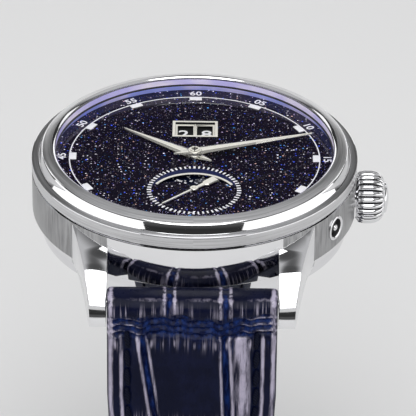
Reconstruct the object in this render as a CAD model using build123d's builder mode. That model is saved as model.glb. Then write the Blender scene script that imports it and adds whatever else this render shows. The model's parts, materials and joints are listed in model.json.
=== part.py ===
"""A moon phase wristwatch that stands on its closed strap with the dial up.

Millimetres, +Z up, +Y towards 12 o'clock, +X towards 3 o'clock and the crown.
The origin is on the floor, on the axis of the case.
"""

import os
from math import atan2, cos, degrees, hypot, radians, sin, sqrt

from build123d import *

os.makedirs("parts", exist_ok=True)

# Clearances
PLAY = 0.05  # between parts that run in one another
SEAT = 0.02  # in pressed and glued seats
OVERRUN = 1.0  # how far a cut passes the face that it opens

# Case, bezel and crystal. A rise is above the dial and a drop is below it.
CASE_RADIUS = 20.0
DIAL_TOP = 66.0  # dial above the floor
BEZEL_WIDTH = 2.7
BEZEL_RISE = 1.9
BEZEL_FALL = 0.35  # fall of its satin slope from the inner to the outer edge
BEZEL_CHAMFER_WIDTH = 0.4
BEZEL_CHAMFER_HEIGHT = 0.2
BEZEL_EDGE = 0.2
LEDGE_WIDTH = 0.85
LEDGE_RISE = 0.41
SKIRT_DROP = 1.03
GROOVE_HEIGHT = 0.27
GROOVE_DEPTH = 0.5
FLANK_HEIGHT = 5.0
FLANK_CHAMFER_HEIGHT = 0.7
FLANK_CHAMFER_WIDTH = 1.0
STEP_HEIGHT = 0.9
NECK_WALL = 0.65
BORE_INSET = 0.4
REHAUT_HEIGHT = 0.75
REHAUT_FLARE = 0.05
GASKET_WALL = 0.2
GASKET_FOOT = 0.35
GASKET_FOOT_HEIGHT = 0.2
CRYSTAL_EDGE = 1.0
CRYSTAL_DOME = 0.8
CRYSTAL_UNDER_DOME = 0.7

# Case back
BACK_HEIGHT = 2.0
BACK_LIP = 0.1  # how far the back stays inside the step above it
BACK_CHAMFER = 0.8
SPIGOT_DEPTH = 1.0
SPIGOT_RECESS = 0.5
BACK_GASKET_HEIGHT = 0.4
BACK_WELL_WALL = 2.4
BACK_FLOOR = 1.05
BACK_WINDOW_LEDGE = 2.5
BACK_CRYSTAL_INSET = 1.75
BACK_CRYSTAL_HEIGHT = 0.7
BACK_CRYSTAL_SINK = 0.3
BACK_SCREWS = 6
BACK_SCREW_INSET = 1.0
BACK_SCREW_HEAD_RADIUS = 0.55
BACK_SCREW_HEAD_HEIGHT = 0.45
BACK_SCREW_RADIUS = 0.3
BACK_SCREW_LENGTH = 2.6
BACK_SCREW_SLOT = 0.16

# Lugs and spring bars
LUG_GAP = 20.5
LUG_REACH = 24.0  # from the case axis to the lug tips
LUG_ROOT_WIDTH = 4.4
LUG_WAIST_WIDTH = 3.1
LUG_TIP_WIDTH = 1.95
LUG_ROOT_REACH = 13.4
LUG_WAIST_REACH = 18.2
LUG_TOP_DROP = 1.3
LUG_KNEE_REACH = 19.2
LUG_KNEE_DROP = 3.6
LUG_TIP_DROP = 8.3
LUG_TIP_HEIGHT = 1.2
LUG_UNDER_REACH = 17.2
LUG_UNDER_DROP = 7.0
LUG_CORNER = 0.45
BAR_STANDOFF = 2.3  # spring bar beyond the case flank
BAR_DROP = 7.15
BAR_RADIUS = 0.8
BAR_TIP_RADIUS = 0.4
BAR_TIP_LENGTH = 1.0
BAR_SHORTNESS = 0.15
BAR_COLLAR_RADIUS = 0.65
BAR_COLLAR_LENGTH = 0.5

# Crown at 3 o'clock
CROWN_DROP = 5.3
CROWN_RADIUS = 3.3
CROWN_LENGTH = 3.6
CROWN_FLARE = 0.8
CROWN_NECK_LENGTH = 0.25
CROWN_HEEL = 0.2
CROWN_SHOULDER_RADIUS = 2.9
CROWN_SHOULDER_AT = 2.65
CROWN_CAP_RADIUS = 2.0
CROWN_CAP_LENGTH = 0.55
CROWN_BUTTON_RADIUS = 1.2
CROWN_GAP = 0.2
CROWN_BORE_DEPTH = 2.5
CROWN_FLUTES = 22
CROWN_FLUTE_RADIUS = 0.26
CROWN_PULL = 1.1
BOSS_DEPTH = 0.3
BOSS_RIM = 0.5
TUBE_RADIUS = 1.2
TUBE_WALL = 0.55
STEM_RADIUS = 0.5
STEM_HOLD = 0.9
STEM_START = 6.9
CROWN_GASKET_WALL = 0.25
CROWN_GASKET_LENGTH = 0.5
CROWN_GASKET_AT = 0.1

# Corrector pusher at 4 o'clock
CORRECTOR_ANGLE = -30.7
CORRECTOR_DROP = 3.7
CORRECTOR_RADIUS = 1.5
CORRECTOR_WALL = 0.35
CORRECTOR_SINK = 0.12
CORRECTOR_BUTTON_SINK = 0.25
CORRECTOR_BUTTON_LENGTH = 1.1
CORRECTOR_FLOOR = 0.5
CORRECTOR_ROD_RADIUS = 0.4
CORRECTOR_ROD_SHORTNESS = 0.35

# Dial
DIAL_THICK = 0.4
DIAL_LIP = 0.55
CENTRE_HOLE_PLAY = 0.12
TRACK_INSET = 1.92  # bezel opening to the minute ring
MARKER_LENGTH = 0.74
MARKER_WIDTH = 1.56
MARKER_HEIGHT = 0.1
MARKER_GAP = 0.07
SUBDIAL_REACH = 7.89  # centre of the small seconds below the dial centre
DATE_REACH = 7.04
DATE_WIDTH = 5.6
DATE_HEIGHT = 4.0
DATE_RIM = 0.4
DATE_BAR = 0.64
DATE_FRAME_THICK = 0.32
DATE_FRAME_STEP = 0.14
DATE_HOLE_MARGIN = 0.15
MOON_ARC_REACH = 4.6
MOON_ARC_RISE = 3.0  # sagitta of its outer edge
MOON_ARC_WIDTH = 0.38
MOON_ARC_TOP = 4.47  # its top above the centre of the small seconds
MOON_ARC_THICK = 0.25
MOON_WINDOW_RADIUS = 5.05
MOON_WINDOW_TOP = 4.25
MOON_WINDOW_SILL = 1.45
MOON_HUMP_RADIUS = 2.5
MOON_HUMP_REACH = 2.45
MOON_HUMP_DROP = 0.5

# Hands
HOUR_ANGLE = 306.0
MINUTE_ANGLE = 72.0
SECONDS_ANGLE = 226.0
HAND_THICK = 0.2
HOUR_HAND_RISE = 0.35
MINUTE_HAND_RISE = 0.88
SECONDS_HAND_RISE = 0.16
SECONDS_HAND_THICK = 0.14
HOUR_HAND_SHORTNESS = 4.4  # tip to the minute ring
HOUR_HAND_WIDTH = 1.9
HOUR_HAND_TAIL = 2.6
MINUTE_HAND_OVERREACH = 0.12
MINUTE_HAND_WIDTH = 1.8
MINUTE_HAND_TAIL = 2.7
HAND_SHOULDER = 1.1
HAND_TIP_WIDTH = 0.12
HAND_NUT_RADIUS = 0.59
HAND_NUT_HEIGHT = 0.27
SECONDS_TIP = 5.33
SECONDS_TAIL = 3.6
SECONDS_WIDTH = 0.24
SECONDS_TAIL_WIDTH = 1.1
SECONDS_TAIL_FLARE_AT = 1.5
SECONDS_TAIL_NOTCH = 0.15
SECONDS_HUB_RADIUS = 0.42

# Discs under the dial
DISC_GAP = 0.2
DISC_THICK = 0.2
DATE_DISC_REACH = 6.25
DATE_DISC_RADIUS = 6.15
MOON_DISC_RADIUS = 4.85
DISC_POST_RADIUS = 0.8
MOON_POST_RADIUS = 0.5

# Movement plates
RING_WIDTH = 1.4  # from the plate to the case bore
PLATE_DROP = 2.2
PLATE_THICK = 1.2
PLATE_RIM_HEIGHT = 2.7
PLATE_RIM_WALL = 0.9
RING_LEDGE = 0.5
RING_LEDGE_HEIGHT = 0.6
TRAIN_HEIGHT = 2.9
BRIDGE_THICK = 0.45
BRIDGE_INSET = 1.3  # from the rim of the plate
PILLAR_RADIUS = 0.85
BARREL_PILLAR_ANGLES = (38.0, 120.0, 160.0)
TRAIN_PILLAR_ANGLES = (190.0, 245.0, 278.0)
BRIDGE_SEAM = 1.9  # edge of the barrel bridge above the stem
SEAM_WIDTH = 0.35
TRAIN_BRIDGE_SIDE = 3.85
PIVOT_RADIUS = 0.12
JEWEL_RADIUS = 0.5
SCREW_HEAD_RADIUS = 0.6
SCREW_HEAD_HEIGHT = 0.22
SCREW_RADIUS = 0.3
SCREW_LENGTH = 1.6
SCREW_SLOT = 0.14

# Going train: modules, tooth counts and levels below the plate
BARREL_MODULE = 0.15
BARREL_TEETH = 72
CENTRE_PINION_TEETH = 12
TRAIN_MODULE = 0.1
CENTRE_TEETH = 80
THIRD_TEETH = 75
TRAIN_PINION_TEETH = 10
FOURTH_MODULE = 0.09
FOURTH_TEETH = 80
ESCAPE_PINION_TEETH = 8
CENTRE_WHEEL_LEVEL = 0.5
THIRD_WHEEL_LEVEL = 1.0
FOURTH_WHEEL_LEVEL = 1.5
ESCAPE_WHEEL_LEVEL = 1.9
BALANCE_LEVEL = 2.2
WHEEL_THICK = 0.22
PINION_MARGIN = 0.08
CENTRE_PINION_LEVEL = 1.45
CENTRE_PINION_LENGTH = 0.5
BARREL_TOOTH_LEVEL = 1.5
BARREL_TOOTH_HEIGHT = 0.4
CENTRE_ARBOR_RADIUS = 0.3
ARBOR_RADIUS = 0.2
SECONDS_ARBOR_RADIUS = 0.13
BARREL_ANGLE = 60.0  # directions between arbors, from +X
ESCAPE_ANGLE = 45.0
PALLET_ANGLE = 0.0
BALANCE_ANGLE = -10.06
PALLET_DISTANCE = 2.4
BALANCE_DISTANCE = 2.8

# Barrel and winding
BARREL_LEVEL = 0.9
BARREL_HEIGHT = 1.8
BARREL_DRUM_INSET = 0.4
BARREL_WALL = 0.25
BARREL_ARBOR_RADIUS = 0.8
BARREL_HUB_RADIUS = 1.2
MAINSPRING_THICK = 0.12
MAINSPRING_TURNS = 7
MAINSPRING_MARGIN = 0.15
WINDING_MODULE = 0.15
RATCHET_TEETH = 48
CROWN_WHEEL_TEETH = 32
WINDING_WHEEL_THICK = 0.25
WINDING_WHEEL_GAP = 0.1
RATCHET_SQUARE = 1.0
CROWN_WHEEL_POST_RADIUS = 0.6
CROWN_WHEEL_LOBE_RADIUS = 1.3
WINDING_PINION_TEETH = 18
WINDING_PINION_START = 7.6
WINDING_PINION_LENGTH = 1.3

# Escapement and balance
ESCAPE_TEETH = 18
ESCAPE_RADIUS = 2.0
ESCAPE_TOOTH_DEPTH = 0.45
ESCAPE_TOOTH_LEAN_SHARE = 0.45
PALLET_CLEAR = 0.16
PALLET_SPAN = 33.0  # each pallet from the line of centres, seen from the escape wheel
PALLET_WIDTH = 0.34
PALLET_ARM_WIDTH = 0.3
FORK_LENGTH = 1.9
FORK_HORN = 0.28
FORK_SLOT = 0.16
BALANCE_RADIUS = 3.9
BALANCE_RIM = 0.42
BALANCE_THICK = 0.32
BALANCE_SPOKE = 0.4
BALANCE_SPOKES = 3
ROLLER_RADIUS = 0.45
ROLLER_HEIGHT = 0.2
HAIRSPRING_TURNS = 8
HAIRSPRING_INNER = 0.5
HAIRSPRING_OUTER = 2.6
HAIRSPRING_THICK = 0.05
HAIRSPRING_HEIGHT = 0.12
HAIRSPRING_GAP = 0.08
STUD_RADIUS = 0.18
COCK_FOOT_ANGLE = 298.0
COCK_FOOT_INSET = 0.95
COCK_FOOT_RADIUS = 2.2
COCK_HEAD_RADIUS = 1.3

# Motion works on the dial side
MOTION_MODULE = 0.125
CANNON_TEETH = 12
MINUTE_WHEEL_TEETH = 36
HOUR_MODULE = 0.12
MINUTE_PINION_TEETH = 10
HOUR_WHEEL_TEETH = 40
MINUTE_WHEEL_RISE = 0.4
MINUTE_PINION_LENGTH = 0.55
HOUR_WHEEL_RISE = 0.95
CANNON_WALL = 0.2
HOUR_PIPE_WALL = 0.2
CANNON_TEETH_LENGTH = 0.4

# Rotor
ROTOR_INSET = 1.2  # from the rim of the plate
ROTOR_RIM_WIDTH = 2.2
ROTOR_RIM_HEIGHT = 1.3
ROTOR_GAP = 0.5
ROTOR_PLATE = 0.3
ROTOR_STUD_RADIUS = 1.1
ROTOR_HUB_RADIUS = 2.4
ROTOR_CAP_RADIUS = 1.7
ROTOR_CAP_HEIGHT = 0.25
ROTOR_ANGLE = 180.0

# Strap, keepers and buckle
STRAP_WIDTH = 20.0
STRAP_END_WIDTH = 18.0
STRAP_THICK = 2.2
STRAP_HEAD_THICK = 4.5
STRAP_TAPER_TOP = 8.0  # below the spring bars
STRAP_TAPER_LENGTH = 13.0
STRAP_PLAY = 0.15
STRAP_BEND = 15.0  # inner radius of its corners
BAR_SLEEVE_PLAY = 0.1
TAIL_RISE = 14.0
TAIL_POINT = 5.0
TAIL_POINT_WIDTH = 6.0
HOLE_PITCH = 6.5
HOLE_RADIUS = 0.9
HOLES_BEFORE = 2
HOLES_AFTER = 4
KEEPER_WALL = 1.1
KEEPER_WIDTH = 5.5
KEEPER_SETBACK = 1.0
FLOATING_KEEPER_RISE = 5.3
BUCKLE_PIN_SETBACK = 6.0
BUCKLE_PIN_RADIUS = 0.6
BUCKLE_PIN_TIP_RADIUS = 0.4
BUCKLE_LENGTH = 9.1
BUCKLE_BAR_WIDTH = 2.4
BUCKLE_BAR_HEIGHT = 1.7
BUCKLE_ARM_WIDTH = 1.35
BUCKLE_EYE_RADIUS = 1.15
BUCKLE_SIDE_PLAY = 0.25
BUCKLE_CORNER = 1.6
BUCKLE_TIP_DEPTH = 0.8
TONGUE_WIDTH = 1.9
TONGUE_THICK = 0.65
TONGUE_EYE_RADIUS = 1.05
TONGUE_FLOOR_GAP = 0.1
TONGUE_OVERHANG = 0.3
TONGUE_SLOT_PLAY = 0.35
TONGUE_SLOT_START = 0.1
TONGUE_SLOT_LENGTH = 6.1

# Tooth shape, as shares of the module and of one tooth's angle
ADDENDUM_SHARE = 0.85
DEDENDUM_SHARE = 1.1
TOOTH_TIP_SHARE = 0.24
TOOTH_ROOT_SHARE = 0.6
WHEEL_HUB_SHARE = 0.24
WHEEL_RIM_SHARE = 0.84
HALF = 1 / 2

# Levels and radii that follow from the sizes above
opening_radius = CASE_RADIUS - BEZEL_WIDTH
dial_radius = opening_radius + DIAL_LIP
neck_bore = dial_radius + PLAY
neck_radius = neck_bore + NECK_WALL
case_bore = opening_radius - BORE_INSET
step_radius = CASE_RADIUS - FLANK_CHAMFER_WIDTH
dial_bottom = DIAL_TOP - DIAL_THICK
rehaut_top = DIAL_TOP + REHAUT_HEIGHT
bezel_top = DIAL_TOP + BEZEL_RISE
bezel_rim = bezel_top - BEZEL_FALL
ledge_top = DIAL_TOP + LEDGE_RISE
skirt_bottom = DIAL_TOP - SKIRT_DROP
flank_top = skirt_bottom - GROOVE_HEIGHT
flank_bottom = flank_top - FLANK_HEIGHT
chamfer_bottom = flank_bottom - FLANK_CHAMFER_HEIGHT
case_bottom = chamfer_bottom - STEP_HEIGHT
shoulder = case_bottom + SPIGOT_DEPTH
back_bottom = case_bottom - BACK_HEIGHT
bar_reach = CASE_RADIUS + BAR_STANDOFF
bar_height = DIAL_TOP - BAR_DROP
crown_height = DIAL_TOP - CROWN_DROP
disc_top = dial_bottom - DISC_GAP
disc_bottom = disc_top - DISC_THICK
plate_top = DIAL_TOP - PLATE_DROP
plate_bottom = plate_top - PLATE_THICK
plate_radius = case_bore - RING_WIDTH
bridge_radius = plate_radius - BRIDGE_INSET
rotor_radius = plate_radius - ROTOR_INSET
bridge_top = plate_bottom - TRAIN_HEIGHT
bridge_bottom = bridge_top - BRIDGE_THICK
track_radius = opening_radius - TRACK_INSET
date_centre = (0, DATE_REACH)
subdial_centre = (0, -SUBDIAL_REACH)


def keep(piece, name):
    """Label a finished piece and write its file."""
    piece.part.label = name
    export_step(piece.part, f"parts/{name}.step")


def polar(centre, distance, angle):
    """The point at a distance and an angle in degrees from a centre."""
    x, y = centre
    return x + distance * cos(radians(angle)), y + distance * sin(radians(angle))


def clock(angle):
    """A clockwise angle from 12 o'clock as an anticlockwise angle from +X."""
    return 90 - angle


def pitch_radius(teeth, module):
    """Radius of a toothed wheel at the line where it meshes."""
    return teeth * module * HALF


def turned(outline, plane=Plane.XZ, axis=Axis.Z):
    """A closed outline of radius and height, turned round an axis."""
    with BuildPart() as piece:
        with BuildSketch(plane):
            with BuildLine():
                Polyline(*outline, close=True)
            make_face()
        revolve(axis=axis)
    return piece


def disc_face(centre, height, radius, bore=0):
    """A round face, with a hole when a bore is given."""
    with BuildSketch(Plane((*centre, height))) as face:
        Circle(radius)
        if bore:
            Circle(bore, mode=Mode.SUBTRACT)
    return face.sketch


def tooth_points(teeth, module, phase):
    """The outline of a toothed wheel whose first tooth points along phase, in degrees."""
    middle = pitch_radius(teeth, module)
    tip = middle + ADDENDUM_SHARE * module
    root = middle - DEDENDUM_SHARE * module
    step = 360 / teeth
    corners = (
        (root, -TOOTH_ROOT_SHARE),
        (tip, -TOOTH_TIP_SHARE),
        (tip, TOOTH_TIP_SHARE),
        (root, TOOTH_ROOT_SHARE),
    )
    return [
        polar((0, 0), radius, phase + step * (number + share * HALF))
        for number in range(teeth)
        for radius, share in corners
    ]


def gear_face(centre, height, teeth, module, phase, bore=0, windows=0):
    """A toothed face, crossed out with round windows when it is a large wheel."""
    middle = pitch_radius(teeth, module)
    with BuildSketch(Plane((*centre, height))) as face:
        with BuildLine():
            Polyline(*tooth_points(teeth, module, phase), close=True)
        make_face()
        if bore:
            Circle(bore, mode=Mode.SUBTRACT)
        if windows:
            inner = middle * WHEEL_HUB_SHARE
            outer = middle * WHEEL_RIM_SHARE
            with PolarLocations((inner + outer) * HALF, windows):
                Circle((outer - inner) * HALF, mode=Mode.SUBTRACT)
    return face.sketch


def mesh_phases(first, second, teeth):
    """Phases at which a tooth of the first wheel stands in a gap of the second one."""
    (x1, y1), (x2, y2) = first, second
    towards = degrees(atan2(y2 - y1, x2 - x1))
    return towards, towards + 180 + 180 / teeth


def spiral_face(centre, height, inner, outer, turns, thick):
    """A flat spiral band between two radii."""
    steps = int(turns * 16)
    growth = (outer - inner) / steps
    inside = [polar((0, 0), inner + growth * n, n * 360 * turns / steps) for n in range(steps + 1)]
    outside = [
        polar((0, 0), inner + thick + growth * n, n * 360 * turns / steps) for n in range(steps + 1)
    ]
    with BuildSketch(Plane((*centre, height))) as face:
        with BuildLine():
            Spline(*inside)
            Spline(*outside)
            Line(inside[0], outside[0])
            Line(inside[-1], outside[-1])
        make_face()
    return face.sketch


def dome(top, drop, radius, x):
    """Height of a dome of a given drop over a radius, at a distance from its axis."""
    sphere = (radius**2 + drop**2) / (2 * drop)
    return top - sphere + sqrt(sphere**2 - x**2)


# Case middle: a turned ring with four lugs, bored for the crown and the corrector
lug_inside = LUG_GAP * HALF
boss_radius = CROWN_RADIUS + BOSS_RIM
boss_face = CASE_RADIUS - BOSS_DEPTH
corrector_height = DIAL_TOP - CORRECTOR_DROP
corrector_plane = Plane(
    origin=(0, 0, corrector_height),
    x_dir=(0, 0, 1),
    z_dir=(cos(radians(CORRECTOR_ANGLE)), sin(radians(CORRECTOR_ANGLE)), 0),
)
crown_plane = Plane(origin=(0, 0, crown_height), x_dir=(0, 1, 0), z_dir=(1, 0, 0))
spigot_bore = case_bore + SPIGOT_RECESS
back_radius = step_radius - BACK_LIP
back_screw_circle = back_radius - BACK_SCREW_INSET
case_outline = [
    (neck_bore, dial_bottom),
    (neck_bore, DIAL_TOP - SEAT),
    (neck_radius, DIAL_TOP - SEAT),
    (neck_radius, skirt_bottom),
    (CASE_RADIUS - GROOVE_DEPTH, skirt_bottom),
    (CASE_RADIUS - GROOVE_DEPTH, flank_top),
    (CASE_RADIUS, flank_top),
    (CASE_RADIUS, flank_bottom),
    (step_radius, chamfer_bottom),
    (step_radius, case_bottom),
    (spigot_bore, case_bottom),
    (spigot_bore, shoulder),
    (case_bore, shoulder),
    (case_bore, dial_bottom),
]


def lug(x_side, y_side):
    """One lug: its outline from above crossed with its outline from the side."""
    tip_outside = lug_inside + LUG_TIP_WIDTH
    with BuildPart() as piece:
        with BuildSketch(Plane.XY.offset(back_bottom)):
            with BuildLine():
                Polyline(
                    (tip_outside, LUG_REACH),
                    (lug_inside, LUG_REACH),
                    (lug_inside, case_bore * HALF),
                    (lug_inside + LUG_ROOT_WIDTH, case_bore * HALF),
                    (lug_inside + LUG_ROOT_WIDTH, LUG_ROOT_REACH),
                )
                ThreePointArc(
                    (lug_inside + LUG_ROOT_WIDTH, LUG_ROOT_REACH),
                    (lug_inside + LUG_WAIST_WIDTH, LUG_WAIST_REACH),
                    (tip_outside, LUG_REACH),
                )
            make_face()
        extrude(amount=DIAL_TOP - back_bottom)
        with BuildSketch(Plane.YZ):
            with BuildLine():
                Polyline(
                    (LUG_KNEE_REACH, DIAL_TOP - LUG_KNEE_DROP),
                    (LUG_ROOT_REACH, DIAL_TOP - LUG_TOP_DROP),
                    (case_bore * HALF, DIAL_TOP - LUG_TOP_DROP),
                    (case_bore * HALF, DIAL_TOP - LUG_UNDER_DROP),
                    (LUG_UNDER_REACH, DIAL_TOP - LUG_UNDER_DROP),
                    (LUG_REACH - LUG_TIP_HEIGHT, DIAL_TOP - LUG_TIP_DROP - LUG_TIP_HEIGHT),
                    (LUG_REACH, DIAL_TOP - LUG_TIP_DROP - LUG_TIP_HEIGHT),
                    (LUG_REACH, DIAL_TOP - LUG_TIP_DROP),
                )
                ThreePointArc(
                    (LUG_REACH, DIAL_TOP - LUG_TIP_DROP),
                    (
                        (LUG_REACH + LUG_KNEE_REACH) * HALF + LUG_CORNER,
                        DIAL_TOP - (LUG_TIP_DROP + LUG_KNEE_DROP) * HALF + LUG_CORNER,
                    ),
                    (LUG_KNEE_REACH, DIAL_TOP - LUG_KNEE_DROP),
                )
            make_face()
        extrude(amount=CASE_RADIUS, mode=Mode.INTERSECT)
        with BuildSketch():
            Circle(case_bore + SPIGOT_RECESS)
        extrude(amount=DIAL_TOP, mode=Mode.SUBTRACT)
    placed = piece.part
    if x_side < 0:
        placed = placed.mirror(Plane.YZ)
    if y_side < 0:
        placed = placed.mirror(Plane.XZ)
    return placed


with BuildPart() as case_middle:
    with BuildSketch(Plane.XZ):
        with BuildLine():
            Polyline(*case_outline, close=True)
        make_face()
    revolve(axis=Axis.Z)
    for x_side in (1, -1):
        for y_side in (1, -1):
            add(lug(x_side, y_side))
    with BuildSketch(crown_plane.offset(boss_face)):
        Circle(boss_radius)
    extrude(amount=BOSS_DEPTH + OVERRUN, mode=Mode.SUBTRACT)
    with BuildSketch(crown_plane.offset(case_bore - OVERRUN)):
        Circle(TUBE_RADIUS + SEAT)
    extrude(amount=CASE_RADIUS - case_bore + 2 * OVERRUN, mode=Mode.SUBTRACT)
    with BuildSketch(corrector_plane.offset(case_bore - OVERRUN)):
        Circle(CORRECTOR_RADIUS + SEAT)
    extrude(amount=CASE_RADIUS - case_bore + 2 * OVERRUN, mode=Mode.SUBTRACT)
    for y_side in (1, -1):
        with BuildSketch(Plane.YZ.offset(-lug_inside - BAR_TIP_LENGTH)):
            with Locations((y_side * bar_reach, bar_height)):
                Circle(BAR_TIP_RADIUS + PLAY)
        extrude(amount=LUG_GAP + 2 * BAR_TIP_LENGTH, mode=Mode.SUBTRACT)
    with BuildSketch(Plane.XY.offset(back_bottom)):
        with PolarLocations(back_screw_circle, BACK_SCREWS):
            Circle(BACK_SCREW_RADIUS + SEAT)
    extrude(amount=BACK_SCREW_LENGTH + SEAT, mode=Mode.SUBTRACT)
keep(case_middle, "case_middle")

# Bezel, rehaut, gasket and domed crystal
wall_radius = CASE_RADIUS - LEDGE_WIDTH
bezel = turned(
    [
        (opening_radius, rehaut_top),
        (opening_radius, bezel_top - BEZEL_CHAMFER_HEIGHT),
        (opening_radius + BEZEL_CHAMFER_WIDTH, bezel_top),
        (wall_radius - BEZEL_EDGE, bezel_rim),
        (wall_radius, bezel_rim - BEZEL_EDGE),
        (wall_radius, ledge_top),
        (CASE_RADIUS, ledge_top),
        (CASE_RADIUS, skirt_bottom),
        (neck_radius + PLAY, skirt_bottom),
        (neck_radius + PLAY, DIAL_TOP),
        (neck_bore, DIAL_TOP),
        (neck_bore, rehaut_top),
    ]
)
keep(bezel, "bezel")

rehaut_ring = turned(
    [
        (opening_radius - GASKET_FOOT, rehaut_top),
        (dial_radius, rehaut_top),
        (dial_radius, DIAL_TOP),
        (opening_radius + REHAUT_FLARE, DIAL_TOP),
    ]
)
keep(rehaut_ring, "rehaut_ring")

crystal_radius = opening_radius - GASKET_WALL - SEAT
crystal_seat = rehaut_top + GASKET_FOOT_HEIGHT
crystal_edge_top = crystal_seat + CRYSTAL_EDGE
crystal_gasket = turned(
    [
        (opening_radius - GASKET_FOOT, rehaut_top),
        (opening_radius - SEAT, rehaut_top),
        (opening_radius - SEAT, bezel_top - BEZEL_CHAMFER_HEIGHT),
        (crystal_radius + SEAT, bezel_top - BEZEL_CHAMFER_HEIGHT),
        (crystal_radius + SEAT, crystal_seat),
        (opening_radius - GASKET_FOOT, crystal_seat),
    ]
)
keep(crystal_gasket, "crystal_gasket")

with BuildPart() as crystal:
    top = crystal_edge_top + CRYSTAL_DOME
    under = crystal_seat + CRYSTAL_UNDER_DOME
    middle = crystal_radius * HALF
    with BuildSketch(Plane.XZ):
        with BuildLine():
            Line((0, under), (0, top))
            ThreePointArc(
                (0, top),
                (middle, dome(top, CRYSTAL_DOME, crystal_radius, middle)),
                (crystal_radius, crystal_edge_top),
            )
            Line((crystal_radius, crystal_edge_top), (crystal_radius, crystal_seat))
            ThreePointArc(
                (crystal_radius, crystal_seat),
                (middle, dome(under, CRYSTAL_UNDER_DOME, crystal_radius, middle)),
                (0, under),
            )
        make_face()
    revolve(axis=Axis.Z)
keep(crystal, "crystal")

# Case back with its window, gasket and screws
spigot_top = shoulder - BACK_GASKET_HEIGHT
spigot_radius = spigot_bore - PLAY
well_radius = spigot_radius - BACK_WELL_WALL
well_floor = back_bottom + BACK_FLOOR
back_crystal_radius = well_radius - BACK_CRYSTAL_INSET
window_radius = well_radius - BACK_WINDOW_LEDGE
back_crystal_top = well_floor - BACK_CRYSTAL_SINK * HALF
back_crystal_bottom = back_crystal_top - BACK_CRYSTAL_HEIGHT
with BuildPart() as case_back:
    with BuildSketch(Plane.XZ):
        with BuildLine():
            Polyline(
                (window_radius, back_bottom),
                (back_radius - BACK_CHAMFER, back_bottom),
                (back_radius, back_bottom + BACK_CHAMFER),
                (back_radius, case_bottom),
                (spigot_radius, case_bottom),
                (spigot_radius, spigot_top),
                (well_radius, spigot_top),
                (well_radius, well_floor),
                (back_crystal_radius + SEAT, well_floor),
                (back_crystal_radius + SEAT, back_crystal_bottom),
                (window_radius, back_crystal_bottom),
                close=True,
            )
        make_face()
    revolve(axis=Axis.Z)
    with Locations((0, 0, back_bottom)):
        with PolarLocations(back_screw_circle, BACK_SCREWS):
            Cylinder(
                BACK_SCREW_HEAD_RADIUS + SEAT,
                BACK_SCREW_HEAD_HEIGHT,
                align=(Align.CENTER, Align.CENTER, Align.MIN),
                mode=Mode.SUBTRACT,
            )
            Cylinder(
                BACK_SCREW_RADIUS + SEAT,
                BACK_SCREW_LENGTH + OVERRUN,
                align=(Align.CENTER, Align.CENTER, Align.MIN),
                mode=Mode.SUBTRACT,
            )
keep(case_back, "case_back")

with BuildPart() as back_crystal:
    extrude(
        disc_face((0, 0), back_crystal_bottom, back_crystal_radius),
        amount=BACK_CRYSTAL_HEIGHT,
    )
keep(back_crystal, "back_crystal")

with BuildPart() as back_gasket:
    extrude(
        disc_face((0, 0), spigot_top, spigot_radius, case_bore + PLAY),
        amount=BACK_GASKET_HEIGHT,
    )
keep(back_gasket, "back_gasket")


def screws(places, head_level, head_radius, head_height, shank_radius, shank_length, slot):
    """Slotted screws that are driven upwards, one at each place."""
    with BuildPart() as piece:
        for place in places:
            extrude(disc_face(place, head_level, head_radius), amount=head_height)
            extrude(disc_face(place, head_level, shank_radius), amount=shank_length)
            with BuildSketch(Plane((*place, head_level))):
                Rectangle(2 * head_radius + slot, slot)
            extrude(amount=slot, mode=Mode.SUBTRACT)
    return piece


back_screw_places = [
    polar((0, 0), back_screw_circle, number * 360 / BACK_SCREWS) for number in range(BACK_SCREWS)
]
case_back_screws = screws(
    back_screw_places,
    back_bottom,
    BACK_SCREW_HEAD_RADIUS,
    BACK_SCREW_HEAD_HEIGHT,
    BACK_SCREW_RADIUS,
    BACK_SCREW_LENGTH,
    BACK_SCREW_SLOT,
)
keep(case_back_screws, "case_back_screws")

# Spring bars in the lugs
bar_half = lug_inside - BAR_SHORTNESS
with BuildPart() as spring_bars:
    for y_side in (1, -1):
        with BuildSketch(Plane.YZ.offset(-bar_half)):
            with Locations((y_side * bar_reach, bar_height)):
                Circle(BAR_RADIUS)
        extrude(amount=2 * bar_half)
        with BuildSketch(Plane.YZ.offset(-lug_inside - BAR_TIP_LENGTH + PLAY)):
            with Locations((y_side * bar_reach, bar_height)):
                Circle(BAR_TIP_RADIUS)
        extrude(amount=2 * (lug_inside + BAR_TIP_LENGTH - PLAY))
        for x_side in (1, -1):
            groove_start = x_side * (bar_half - 2 * BAR_COLLAR_LENGTH)
            with BuildSketch(Plane.YZ.offset(groove_start)):
                with Locations((y_side * bar_reach, bar_height)):
                    Circle(BAR_RADIUS)
                    Circle(BAR_COLLAR_RADIUS, mode=Mode.SUBTRACT)
            extrude(amount=x_side * BAR_COLLAR_LENGTH, mode=Mode.SUBTRACT)
keep(spring_bars, "spring_bars")

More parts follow.
